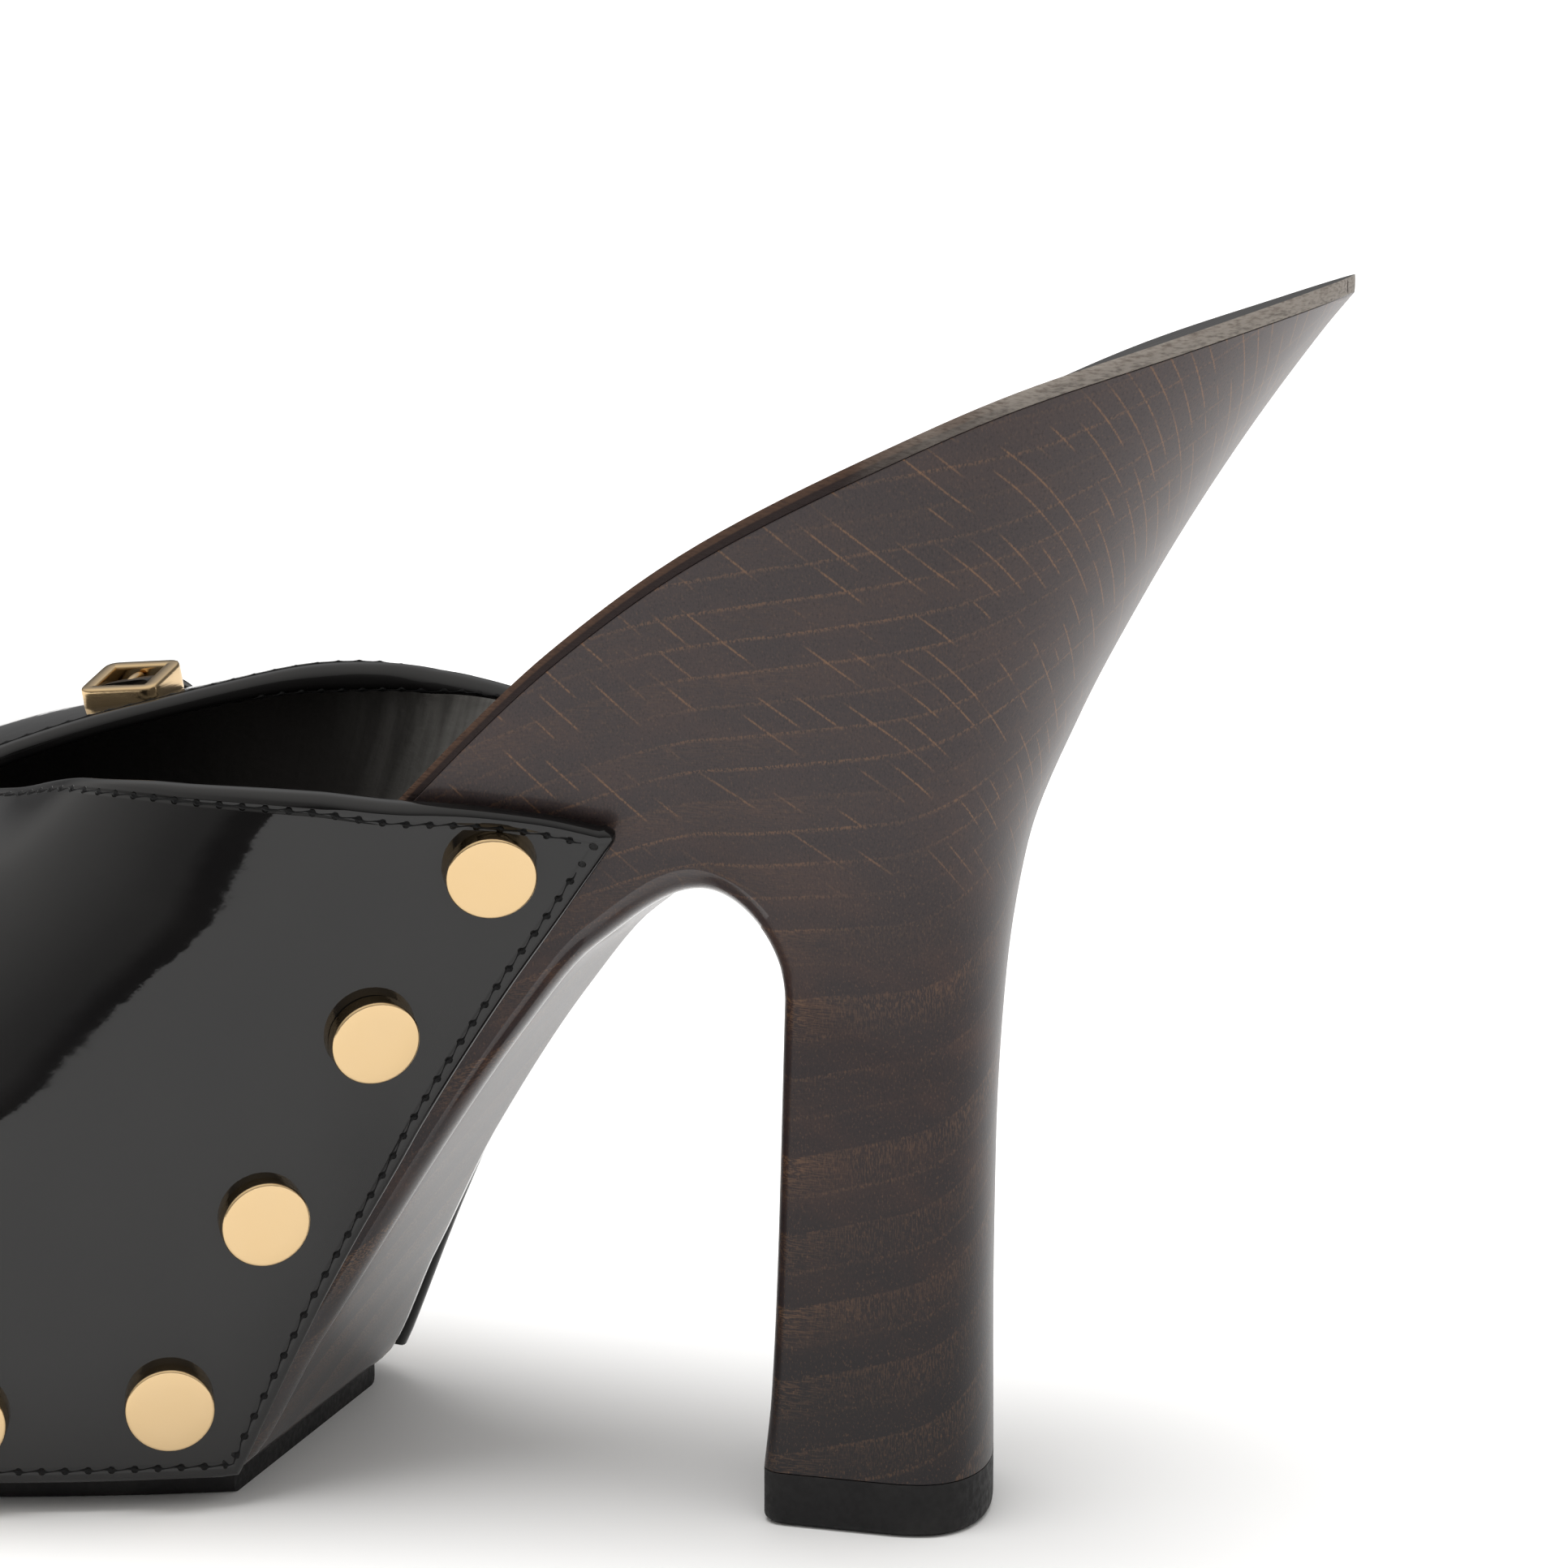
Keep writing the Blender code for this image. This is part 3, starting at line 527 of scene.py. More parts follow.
@dataclass(frozen=True)
class StainedWood:
    """Dark stained, lacquered wood with growth rings, rays across them and fibre flecks."""

    name: str = "stained wood"
    base: Triple = (0.022, 0.0138, 0.0148)
    warm: Triple = (0.040, 0.021, 0.018)
    tan: Triple = (0.24, 0.125, 0.062)
    pore_and_shade: Triple = (0.007, 0.005, 0.006)
    seat_sheen: Triple = (0.070, 0.056, 0.056)
    ring_way: Triple = (0.49, -0.22, 0.84)
    ray_way: Triple = (-0.61, 0.36, 0.70)
    fibre_way: Triple = (0.41, 0.87, -0.01)
    ring_pitch: float = 6.1
    ray_pitch: float = 1.5
    ray_sway: float = 0.4
    sway: float = 7.0
    shiver: float = 0.22
    foot_z: float = 5.0
    foot_shade: float = 48.0
    seat_from: float = 46.0
    seat_to: float = 74.0
    rays_from: float = 58.0
    rays_to: float = 70.0
    coat: float = 0.28
    coat_blur: float = 0.16

    def flecks(self, g: Paint, sway: Socket) -> Socket:
        """Short flecks: level ones in the front of the heel, upright ones further back.

        Args:
            g: the material's nodes.
            sway: slow drift that keeps the change between them from being straight.

        Returns:
            Output from 0 to 1.
        """
        level = g.step(g.grain(2.0, (3.4, 0.8, 8.0), *g.axes), 0.44, 0.64)
        upright = g.step(g.grain(2.0, (5.5, 7.0, 1.5), *g.axes), 0.44, 0.66)
        back = g.step(g.plus(g.axes[1], g.times(sway, 1.5)), 60.0, 70.0)
        return g.plus(g.times(level, g.minus(1.0, back)), g.times(upright, back))

    def bands(self, g: Paint, ring: Socket, pitch: float, seed: float, fade: tuple[float, float],
              faint: float) -> Socket:
        """Colour of the rings: it starts sharply under each line, fades downwards and varies by chance.

        Args:
            g: the material's nodes.
            ring: place across the rings.
            pitch: distance between two lines.
            seed: stretch of the noise that gives each ring its strength.
            fade: shares of the pitch where the fading starts and ends.
            faint: strength of the weakest rings.

        Returns:
            Output from 0 to 1.
        """
        band, number = g.period(ring, -pitch)
        strength = g.step(g.grain(0.0, (seed,), number), 0.35, 0.6, faint, 1.0)
        return g.times(g.step(band, 0.0, 0.03), g.step(band, *fade, 1.0, 0.0), strength)

    def make(self) -> Material:
        """Rings are planes across ring_way and rays planes across ray_way, both swaying a little.

        Broad bands under the rings show in the heel. On the seat only the lines show, thin and dotted,
        twice as close. Rays are thin lines, broken into dashes that join up towards the back. Painted
        sheen lightens the seat towards its back, and painted shade darkens the heel towards the floor.

        Returns:
            The material.
        """
        g = Paint(self.name)
        sway = g.times(g.minus(g.noise(15.0, 1.0), 0.5), self.sway)
        drift = g.plus(sway, g.times(g.minus(g.noise(160.0, 2.0), 0.5), self.shiver))
        ring = g.plus(g.along(*self.ring_way), drift)
        ray = g.plus(g.along(*self.ray_way), g.times(drift, self.ray_sway))
        fibre = g.along(*self.fibre_way)
        dust = g.grain(2.0, (5.5, 5.5, 3.2), *g.axes)
        seat = g.step(g.axes[2], self.seat_from, self.seat_to)
        broad = g.times(self.bands(g, ring, self.ring_pitch, 3.7, (0.03, 0.8), 0.15),
                        g.step(seat, 0.0, 1.0, 1.0, 0.3), self.flecks(g, sway),
                        g.step(g.noise(34.0, 2.0), 0.34, 0.58, 0.4, 1.0))
        lines = g.times(self.bands(g, ring, self.ring_pitch / 2, 5.3, (0.06, 0.16), 0.2),
                        g.step(seat, 0.0, 1.0, 0.4, 1.0), g.step(dust, 0.40, 0.60),
                        g.step(g.noise(40.0, 2.0), 0.34, 0.52, 0.2, 1.0))
        turn, number = g.period(ray, self.ray_pitch)
        dashes = g.plus(g.grain(1.0, (0.2, 5.7, 0.05), ring, number, fibre),
                        g.step(g.axes[1], 62.0, 100.0, 0.0, 0.09))
        rays = g.times(g.step(g.math("ABSOLUTE", g.minus(turn, 0.5)), 0.015, 0.065, 1.0, 0.0),
                       g.step(dashes, 0.48, 0.62), g.step(g.axes[2], self.rays_from, self.rays_to),
                       g.step(dust, 0.34, 0.56, 0.25, 1.0))
        streaks = g.grain(3.0, (0.22, 0.22, 0.03), ring, ray, fibre)
        layers = (
            (g.step(streaks, 0.40, 0.75), self.warm),
            # painted sheen: a grey veil over the seat that grows towards the back
            (g.times(seat, g.step(g.axes[1], 75.0, 102.0, 0.42, 0.85)), self.seat_sheen),
            (g.step(dust, 0.22, 0.5, 0.5, 0.0), self.pore_and_shade),
            # painted shade: the heel column darkens towards the floor, in the pores' colour
            (g.step(g.axes[2], self.foot_z, self.foot_shade, 0.85, 0.0), self.pore_and_shade),
            (g.step(dust, 0.56, 0.8, 0.0, 0.26), self.tan),
            (g.times(broad, g.step(g.axes[1], 58.5, 65.0, 0.45, 0.26)), self.tan),
            (g.times(lines, 0.42), self.tan),
            (g.times(rays, 0.64), self.tan),
        )
        colour = reduce(lambda below, layer: g.blend(layer[0], below, layer[1]), layers, self.base)
        g.bump(dust, 0.02)
        return g.dress(base_color=colour, roughness=g.step(dust, 0.2, 0.8, 0.46, 0.54),
                       specular_ior_level=0.2, coat_weight=self.coat, coat_roughness=self.coat_blur)


@dataclass(frozen=True)
class PatentLeather:
    """Black leather under a glassy film, with stitch holes along the rim and the rear edge, darkened by
    painted shade.
    """

    base: Triple = (0.0055, 0.0053, 0.0058)
    cloudy: Triple = (0.010, 0.0095, 0.0092)
    painted_hole_shade: Triple = (0.0012, 0.0012, 0.0012)
    stitch_pitch: float = 2.2
    inset: float = 0.75
    hole_radius: float = 0.42
    stitched: bool = True

    def stitch_line(self, g: Paint, name: str) -> Socket:
        """Depth of a row of holes joined by a shallow groove.

        A hole is a round dip about each pitch along the edge, and the groove a dip about the inset.

        Args:
            g: the material's nodes.
            name: map of the edge.

        Returns:
            Output from 0 on the smooth leather to 1 in a hole.
        """
        along, away = g.map(name)
        side = g.minus(away, self.inset)
        gap = g.times(g.minus(g.period(along, self.stitch_pitch)[0], 0.5), self.stitch_pitch)
        reach = g.math("SQRT", g.plus(g.times(side, side), g.times(gap, gap)))
        hole = g.step(reach, self.hole_radius * 0.35, self.hole_radius, 1.0, 0.0)
        return g.math("MAXIMUM", hole, g.step(g.math("ABSOLUTE", side), 0.05, 0.4, 0.2, 0.0))

    def make(self) -> Material:
        """Film with a faint orange peel, fine dents and the stitch rows, or a plain satin strap.

        Returns:
            The material.
        """
        g = Paint("patent leather" if self.stitched else "strap leather")
        colour = g.blend(g.noise(90.0, 3.0), self.base, self.cloudy)
        if not self.stitched:
            return g.dress(base_color=colour, roughness=0.35, specular_ior_level=0.3)
        rows = g.math("MAXIMUM", self.stitch_line(g, "rim"), self.stitch_line(g, "hem"))
        film = g.plus(g.times(g.noise(230.0, 2.0), 0.09), g.times(g.noise(1100.0, 2.0), 0.012))
        gloss = g.step(g.noise(60.0, 4.0), 0.3, 0.75, 0.04, 0.09)
        g.bump(g.minus(film, rows), 0.35)
        # painted shade: the holes and the groove of the stitch rows are darkened, and grow rough
        return g.dress(base_color=g.blend(rows, colour, self.painted_hole_shade),
                       roughness=g.math("MAXIMUM", gloss, g.times(rows, 0.85)),
                       specular_ior_level=0.37, coat_weight=0.15, coat_roughness=0.03)


@dataclass(frozen=True)
class Lining:
    """Dull black lining with a fine grain, and painted light that grows towards the back."""

    base: Triple = (0.075, 0.071, 0.068)
    light: Triple = (0.48, 0.47, 0.45)
    lit_from: float = -4.0
    lit_to: float = 17.0

    def make(self) -> Material:
        """Leather grain, with stretch marks that slant upwards, and painted light that grows towards the
        back, strongest on the marks.

        Returns:
            The material.
        """
        g = Paint("lining")
        fine = g.noise(900.0, 3.0)
        across, down = g.along(0.0, 0.52, -0.22), g.along(0.0, 0.012, 0.03)
        marks = g.grain(4.0, (0.1, 1.0, 1.0), g.axes[0], across, down)
        # painted light: a pale tone over the stretch marks, growing towards the back
        tone = g.times(g.step(marks, 0.3, 0.7, 0.25, 1.0), g.step(g.axes[1], self.lit_from, self.lit_to))
        g.bump(g.plus(fine, g.times(marks, 2.0)), 0.12)
        return g.dress(base_color=g.blend(tone, self.base, self.light),
                       roughness=g.step(fine, 0.3, 0.7, 0.34, 0.5), specular_ior_level=0.6)


@dataclass(frozen=True)
class InsoleTop:
    """Smooth dark insole leather with a satin film and light scuffs."""

    base: Triple = (0.020, 0.018, 0.018)
    worn: Triple = (0.036, 0.032, 0.03)

    def make(self) -> Material:
        """Fine pores, with scuffs where a stretched noise is high.

        Returns:
            The material.
        """
        g = Paint("insole top")
        scuffs = g.step(g.grain(4.0, (0.25, 0.06, 0.06), *g.axes), 0.45, 0.85)
        g.bump(g.noise(1100.0, 3.0), 0.05)
        return g.dress(base_color=g.blend(scuffs, self.base, self.worn),
                       roughness=g.step(scuffs, 0.0, 1.0, 0.3, 0.45),
                       specular_ior_level=0.5, coat_weight=0.3, coat_roughness=0.25)


@dataclass(frozen=True)
class RawEdge:
    """Cut edge of the insole leather: fibrous, stained like the wood below, brown above."""

    dark: Triple = (0.024, 0.015, 0.014)
    brown: Triple = (0.075, 0.042, 0.028)
    pale: Triple = (0.29, 0.26, 0.23)
    worn_from: float = 68.0
    worn_to: float = 88.0
    patch: float = 40.0

    def make(self) -> Material:
        """Pale and worn at the back, in patches, with short level fibres from a noise squeezed in height.

        Returns:
            The material.
        """
        g = Paint("raw leather edge")
        fibres = g.grain(4.0, (1.2, 1.2, 5.0), *g.axes)
        patches = g.times(g.minus(g.noise(70.0, 3.0), 0.5), self.patch)
        worn = g.step(g.plus(g.axes[1], patches), self.worn_from, self.worn_to)
        raised = g.step(g.map("edge")[1], 0.42, 0.56)
        colour = g.blend(g.times(g.step(fibres, 0.2, 0.6, 0.4, 1.0), raised), self.dark, self.brown)
        colour = g.blend(g.times(g.step(fibres, 0.25, 0.6, 0.45, 1.0), worn), colour, self.pale)
        g.bump(fibres, 0.15)
        return g.dress(base_color=colour, roughness=0.7, specular_ior_level=0.25)


@dataclass(frozen=True)
class PolishedGold:
    """Light gold plating with hairline scratches."""

    base: Triple = (0.65, 0.465, 0.248)
    pale: Triple = (0.68, 0.50, 0.29)

    def make(self) -> Material:
        """Colour and gloss wander with a noise, and scratches are a fine stretched one.

        Returns:
            The material.
        """
        g = Paint("polished gold")
        cloud = g.noise(160.0, 3.0)
        g.bump(g.grain(2.0, (0.5, 0.7, 7.0), *g.axes), 0.006)
        return g.dress(base_color=g.blend(cloud, self.base, self.pale), metallic=1.0,
                       roughness=g.step(cloud, 0.3, 0.7, 0.14, 0.22))


@dataclass(frozen=True)
class BlackRubber:
    """Dull moulded rubber with a fine dust of wear."""

    base: Triple = (0.011, 0.0105, 0.011)
    dust: Triple = (0.022, 0.021, 0.0205)

    def make(self) -> Material:
        """Speckle from a fine noise, with paler patches.

        Returns:
            The material.
        """
        g = Paint("black rubber")
        speckle = g.noise(1300.0, 3.0)
        g.bump(speckle, 0.08)
        worn = g.step(g.noise(120.0, 4.0), 0.4, 0.8)
        return g.dress(base_color=g.blend(worn, self.base, self.dust),
                       roughness=g.step(speckle, 0.3, 0.7, 0.5, 0.68), specular_ior_level=0.2)


@dataclass(frozen=True)
class Thread:
    """Waxed black sewing thread."""

    base: Triple = (0.0015, 0.0015, 0.0016)
    shine: Triple = (0.008, 0.008, 0.0085)

    def make(self) -> Material:
        """Twist from a fine noise.

        Returns:
            The material.
        """
        g = Paint("thread")
        twist = g.noise(2600.0, 2.0)
        g.bump(twist, 0.08)
        colour = g.blend(twist, self.base, self.shine)
        return g.dress(base_color=colour, roughness=0.35, specular_ior_level=0.12)


@dataclass(frozen=True)
class StudioFloor:
    """Plain pale paper floor."""

    pale: Triple = (0.90, 0.90, 0.90)
    shade: Triple = (0.88, 0.88, 0.88)

    def make(self) -> Material:
        """Barely visible clouds.

        Returns:
            The material.
        """
        g = Paint("studio floor")
        colour = g.blend(g.noise(3.0, 2.0), self.pale, self.shade)
        return g.dress(base_color=colour, roughness=0.7, specular_ior_level=0.1)


@dataclass(frozen=True)
class SoleForm:
    """Shape of the one-piece wooden sole."""

    toe_y: float = -104.6
    seat_y: float = 108.5
    gap: float = 0.3
    toe_start_y: float = -50.0
    toe_power: float = 2.1
    toe_lean: float = -5.0
    arch_y: float = 50.4
    arch_z: float = 50.5
    arch_reach: float = 8.1
    arch_rise: float = 10.1
    lift_off_y: float = 5.4
    heel_piece_height: float = 5.0
    back_round_seat: float = 18.0
    back_round_column: float = 9.5
    back_power: float = 2.3
    foot_flare: float = 0.1
    heel_turn: float = 0.22
    turn_from_y: float = 58.0
    turn_reach: float = 14.0
    turn_top_z: float = 85.0
    turn_fade: float = 45.0
    foot_flare_height: float = 30.0
    dish_per_half_width: float = 0.06
    wing_foot_y: float = 6.4
    wing_tip_y: float = 43.0
    vertex_y: float = -36.0

    @property
    def seat_z(self) -> float:
        """Height of the wood at the back of the seat."""
        return float(SECTIONS.at("top", self.seat_y))

    def toe_share(self, y: Array) -> Array:
        """How far a place lies into the rounded toe, from 0 to 1."""
        into = self.toe_start_y - np.asarray(y, float)
        return np.clip(into / (self.toe_start_y - self.toe_y), 0.0, 1.0)

    def toe_round(self, y: Array) -> Array:
        """Share of the width left in the rounded toe."""
        return superellipse_end(self.toe_share(y), self.toe_power)

    def centre_x(self, y: Array) -> Array:
        """Middle line of the sole in plan, bent to the inner side at the toe."""
        return self.toe_lean * self.toe_share(y) ** 2

    def back_round(self, y: Array, z: Array) -> Array:
        """Rounding of heel and seat towards the back line: a superellipse end that grows with height.

        Args:
            y: places along the shoe.
            z: heights.

        Returns:
            Share of the width left, from 1 to 0.
        """
        height = np.clip((np.asarray(z, float) - self.arch_z) / (self.seat_z - self.arch_z), 0.0, 1.0)
        reach = self.back_round_column + (self.back_round_seat - self.back_round_column) * height
        share = (np.asarray(y, float) - BACK_LINE.at("y", z) + reach) / reach
        return superellipse_end(share, self.back_power)

    def side_x(self, y: Array, z: Array, side: Side) -> Array:
        """Side face of the wood: from the low to the top half width by a power of the height share.

        Args:
            y: places along the shoe.
            z: heights.
            side: which side.

        Returns:
            x of the face.
        """
        name = side.name.lower()
        y, z = np.broadcast_arrays(np.asarray(y, float), np.asarray(z, float))
        top, bottom = SECTIONS.at("top", y), SECTIONS.at("bottom", y)
        share = np.clip((z - bottom) / (top - bottom), 0.0, 1.0) ** SECTIONS.at("flare", y)
        low, high = SECTIONS.at(name + "_low", y), SECTIONS.at(name + "_top", y)
        foot = np.clip(1.0 - z / self.foot_flare_height, 0.0, 1.0) ** 2 * (y > self.arch_y)
        half = low * (1.0 + self.foot_flare * foot) + (high - low) * share
        return self.centre_x(y) + side.value * half * self.toe_round(y) * self.back_round(y, z)

    def turned(self, grid: Array) -> Array:
        """Turn the back of the heel column a little to the outer side, by a shear that fades with height.

        Args:
            grid: points with x y z last.

        Returns:
            Sheared points.
        """
        x, y, z = (grid[..., k] for k in range(3))
        back = soft_step((y - self.turn_from_y) / self.turn_reach)
        low = soft_step((self.turn_top_z - z) / self.turn_fade)
        return net(x, y + self.heel_turn * x * back * low, z)

    def stations(self, toe: int, ball: int, throat: int, shank: int, arch: int) -> Array:
        """Places of the cross sections from the toe to the crown of the arch.

        Args:
            toe: sections round the toe, crowded towards its tip by a sine.
            ball: sections from there to the throat's vertex.
            throat: sections on to where the wood lifts off the floor.
            shank: sections along the wings.
            arch: sections from the wing tips to the arch's crown.

        Returns:
            Places along the shoe.
        """
        turn = np.linspace(math.pi / 2, 0.0, toe)
        stretches = (
            self.toe_start_y + (self.toe_y - self.toe_start_y) * np.sin(turn),
            np.linspace(self.toe_start_y, self.vertex_y, ball)[1:],
            np.linspace(self.vertex_y, self.lift_off_y, throat)[1:],
            np.linspace(self.wing_foot_y, self.wing_tip_y, shank),
            np.linspace(self.wing_tip_y, self.arch_y, arch)[1:],
        )
        return np.concatenate(stretches)

    def seat_places(self, count: int) -> Array:
        """Places from the arch to the back of the seat, crowded towards the back by a sine."""
        turn = np.linspace(0.0, math.pi / 2, count)[1:]
        return self.arch_y + (self.seat_y - self.arch_y) * np.sin(turn)

    def bed_z(self, y: Array, share: Array) -> Array:
        """Height of the footbed: the section's top, dished by a parabola across.

        Args:
            y: places along the shoe.
            share: shares of the half width from -1 to 1.

        Returns:
            Heights.
        """
        top = SECTIONS.at("top", y)
        width = SECTIONS.at("outer_top", y) * self.toe_round(y) * self.back_round(y, top)
        return top - self.dish_per_half_width * width * (1.0 - share ** 2)

    def bed_x(self, y: Array, share: Array, inset: float = 0.0) -> Array:
        """Place across the footbed at a share of the half width.

        Args:
            y: places along the shoe.
            share: shares from -1 inside to 1 outside.
            inset: how far the edge is drawn in.

        Returns:
            x of each place.
        """
        top = SECTIONS.at("top", y)
        middle = self.centre_x(y)
        edge = np.where(share < 0, self.side_x(y, top, Side.INNER), self.side_x(y, top, Side.OUTER))
        reach = np.maximum(np.abs(edge - middle) - inset, 0.0)
        return middle + share * reach


@dataclass
class WoodenSole:
    """The wood, with the rubber pieces under it and the insole on it."""

    form: SoleForm
    edge_round: float = 2.4
    top_round: float = 0.15
    side_points: int = 40
    edge_points: int = 9
    bed_points: int = 25
    insole_thickness: float = 1.3
    insole_inset: float = 0.1
    outsole_thickness: float = 2.2
    outsole_inset: float = 2.6
    edge_bulge: float = 0.18
    rubber_round: float = 0.8
    joint: float = 0.1
    sections: tuple[int, ...] = (44, 14, 34, 34, 10)
    seat_sections: int = 44
    back_sections: int = 40
    column_sections: int = 34
    heel_points: int = 60
    crowd: float = 2.4
    breast_crowd: float = 1.6

    def ribs(self) -> tuple[Array, int]:
        """Side-view lines across the wood from its top edge to its underside.

        They stand upright up to the arch's crown, fan round the arch to the seat and the back line, and
        lie level in the heel column.

        Returns:
            Rows of top y, top z, low y, low z and crowding towards the top, and the seat's row count.
        """
        f = self.form
        y = f.stations(*self.sections)
        upright = [y, SECTIONS.at("top", y), y, SECTIONS.at("bottom", y), np.ones_like(y)]
        seat_y = f.seat_places(self.seat_sections)
        back_z = np.linspace(f.seat_z, f.arch_z, self.back_sections)[1:]
        top_y = np.concatenate([seat_y, BACK_LINE.at("y", back_z)])
        top_z = np.concatenate([SECTIONS.at("top", seat_y), back_z])
        turn = np.linspace(math.pi / 2, 0.0, len(top_y) + 1)[1:]
        crowd = np.full(len(top_y), self.crowd)
        crowd[:len(seat_y)] = np.linspace(1.0, self.crowd, len(seat_y))
        low_y, low_z = f.arch_y + f.arch_reach * np.cos(turn), f.arch_z + f.arch_rise * np.sin(turn)
        fan = [top_y, top_z, low_y, low_z, crowd]
        z = np.linspace(f.arch_z, f.heel_piece_height + f.gap, self.column_sections)[1:]
        column = [BACK_LINE.at("y", z), z, BREAST_LINE.at("y", z), z, np.full_like(z, self.crowd)]
        return np.concatenate([upright, fan, column], axis=1).T, len(y) + len(seat_y)

    def build_wood(self, finishes: Sequence[Material]) -> Piece:
        """Side faces over the ribs with rounded edges, closed by footbed, underside, breast and heel end.

        A rounded edge draws the face in by a quarter circle of its radius.

        Args:
            finishes: those of the sides, of the underside up to the arch, and of its rounded edges.

        Returns:
            The piece.
        """
        rows, seat_rows = self.ribs()
        top_y, top_z, low_y, low_z, crowd = (rows[:, k:k + 1] for k in range(5))
        length = np.hypot(low_y - top_y, low_z - top_z)
        top = self.top_round * np.linspace(0.0, 1.0, 5)[None, :-1]
        low = self.edge_round * np.sin(np.linspace(0.0, math.pi / 2, self.edge_points))[None, 1:]
        middle = np.linspace(0.0, 1.0, self.side_points)[None, :] ** crowd
        middle = self.top_round + (length - self.edge_round - self.top_round) * middle
        distance = np.concatenate([top + 0 * length, middle, length - self.edge_round + low], axis=1)
        y = top_y + (low_y - top_y) * distance / length
        z = top_z + (low_z - top_z) * distance / length
        tuck = quarter_round(self.edge_round, distance - length + self.edge_round)
        soft = quarter_round(self.top_round, self.top_round - distance)
        soft = soft * (np.arange(len(rows)) < seat_rows)[:, None]
        draft = Draft("wooden_sole")
        faces = {}
        for side in Side:
            centre = self.form.centre_x(y)
            half = np.abs(self.form.side_x(y, z, side) - centre)
            half = np.maximum(half - np.minimum(tuck, 0.9 * half) - np.minimum(soft, 0.5 * half), 0.0)
            faces[side] = self.form.turned(net(centre + side.value * half, y, z))
            draft.add(faces[side][:, :1 - self.edge_points])
            draft.add(faces[side][:seat_rows, -self.edge_points:], 2)
            draft.add(faces[side][seat_rows - 1:, -self.edge_points:])
        across = np.linspace(0.0, 1.0, self.bed_points)[None, :]
        rims = [faces[side][:seat_rows, :1] for side in (Side.INNER, Side.OUTER)]
        bed = rims[0] + (rims[1] - rims[0]) * across[:, :, None]
        bed[:, :, 2] = self.form.bed_z(top_y[:seat_rows], 2 * across - 1)
        draft.add(bed)
        for edge, finish in ((np.s_[:seat_rows, -1], 1), (np.s_[seat_rows - 1:, -1], 0), (np.s_[-1], 0)):
            draft.span(faces, edge, self.bed_points // 2 + 1, finish)
        return draft.build(finishes, Slot.WOOD, ["sole"])

    def build_insole(self, top: Material, edge: Material) -> Piece:
        """Thin leather over the whole footbed, with a slightly bulged raw edge.

        Args:
            top: finish of the upper and lower face.
            edge: finish of the cut edge.

        Returns:
            The piece.
        """
        f = self.form
        y = np.concatenate([f.stations(*self.sections)[1:], f.seat_places(self.seat_sections)])[:, None]
        share = np.linspace(-1.0, 1.0, self.bed_points)[None, :]
        x = f.bed_x(y, share, self.insole_inset)
        low = f.bed_z(y, share) + self.joint / 2
        draft = Draft("insole_leather")
        draft.add(net(x, y, low))
        thick = self.insole_thickness + f.gap - self.joint / 2
        draft.add(net(x, y, low + thick))
        rise = np.linspace(0.0, 1.0, 6)[None, :]
        bulge = self.edge_bulge * np.sin(math.pi * rise)
        for column, sign in ((0, -1.0), (-1, 1.0)):
            wall = net(x[:, [column]] + sign * bulge, y, low[:, [column]] + thick * rise)
            draft.add(wall, 1, {"edge": np.stack(np.broadcast_arrays(y, rise), axis=-1)})
        ends = np.array([[0.0], [1.0]])
        front = net(x[:1], y[:1], low[:1] + thick * ends)
        draft.add(front, 1, {"edge": np.stack(np.broadcast_arrays(front[..., 1], ends), axis=-1)})
        return draft.build([top, edge], Slot.INSOLE, ["insole"])

    def build_outsole(self, rubber: Material) -> Piece:
        """Rubber under the forefoot, with a rounded lower edge.

        Args:
            rubber: the finish.

        Returns:
            The piece.
        """
        f = self.form
        y = f.stations(44, 20, 60, 2, 2)
        y = y[y <= f.lift_off_y][:, None]
        bottom = SECTIONS.at("bottom", y)
        levels = np.array([0.0, 0.15, 0.4, 0.8, 1.5, self.outsole_thickness])
        tuck = quarter_round(self.rubber_round, self.rubber_round - levels)
        low_z = bottom - f.gap - self.outsole_thickness
        draft = Draft("forefoot_rubber")
        walls = {}
        for side in Side:
            half = np.abs(f.side_x(y, bottom, side) - f.centre_x(y)) - self.outsole_inset
            half = np.maximum(half - tuck[None, :], 0.0)
            walls[side] = net(f.centre_x(y) + side.value * half, y, low_z + levels[None, :])
            draft.add(walls[side])
        for edge in (np.s_[:, 0], np.s_[:, -1], np.s_[-1]):
            draft.span(walls, edge, self.bed_points)
        return draft.build([rubber], Slot.RUBBER, ["outsole_forefoot"])

    def build_heel_piece(self, rubber: Material) -> Piece:
        """Rubber under the heel: the column's own outline with a rounded lower edge.

        Args:
            rubber: the finish.

        Returns:
            The piece.
        """
        f = self.form
        top = f.heel_piece_height + f.gap
        back, breast = float(BACK_LINE.at("y", top)), float(BREAST_LINE.at("y", top))
        share = np.linspace(0.0, 1.0, self.heel_points)[None, :] ** self.crowd
        y = back + (breast - back) * (1 - (1 - share) ** self.breast_crowd)
        levels = np.array([0.0, 0.1, 0.3, 0.55, self.rubber_round, 2.5, top - self.joint])[:, None]
        tuck = quarter_round(self.rubber_round, self.rubber_round - levels)
        corner = quarter_round(self.edge_round, self.edge_round - (y - breast))
        middle = (back + breast) / 2
        shrink = 1.0 - tuck / (middle - breast)
        draft = Draft("heel_rubber")
        rings = {}
        for side in Side:
            half = f.side_x(y, np.full_like(y, top), side)
            half = half - side.value * np.minimum(corner, np.abs(half))
            rings[side] = f.turned(net(half * shrink, middle + (y - middle) * shrink, levels))
            draft.add(rings[side])
        for edge in (np.s_[0], np.s_[-1], np.s_[:, -1]):
            draft.span(rings, edge, self.bed_points // 2)
        return draft.build([rubber], Slot.RUBBER, ["heel_top_piece"])


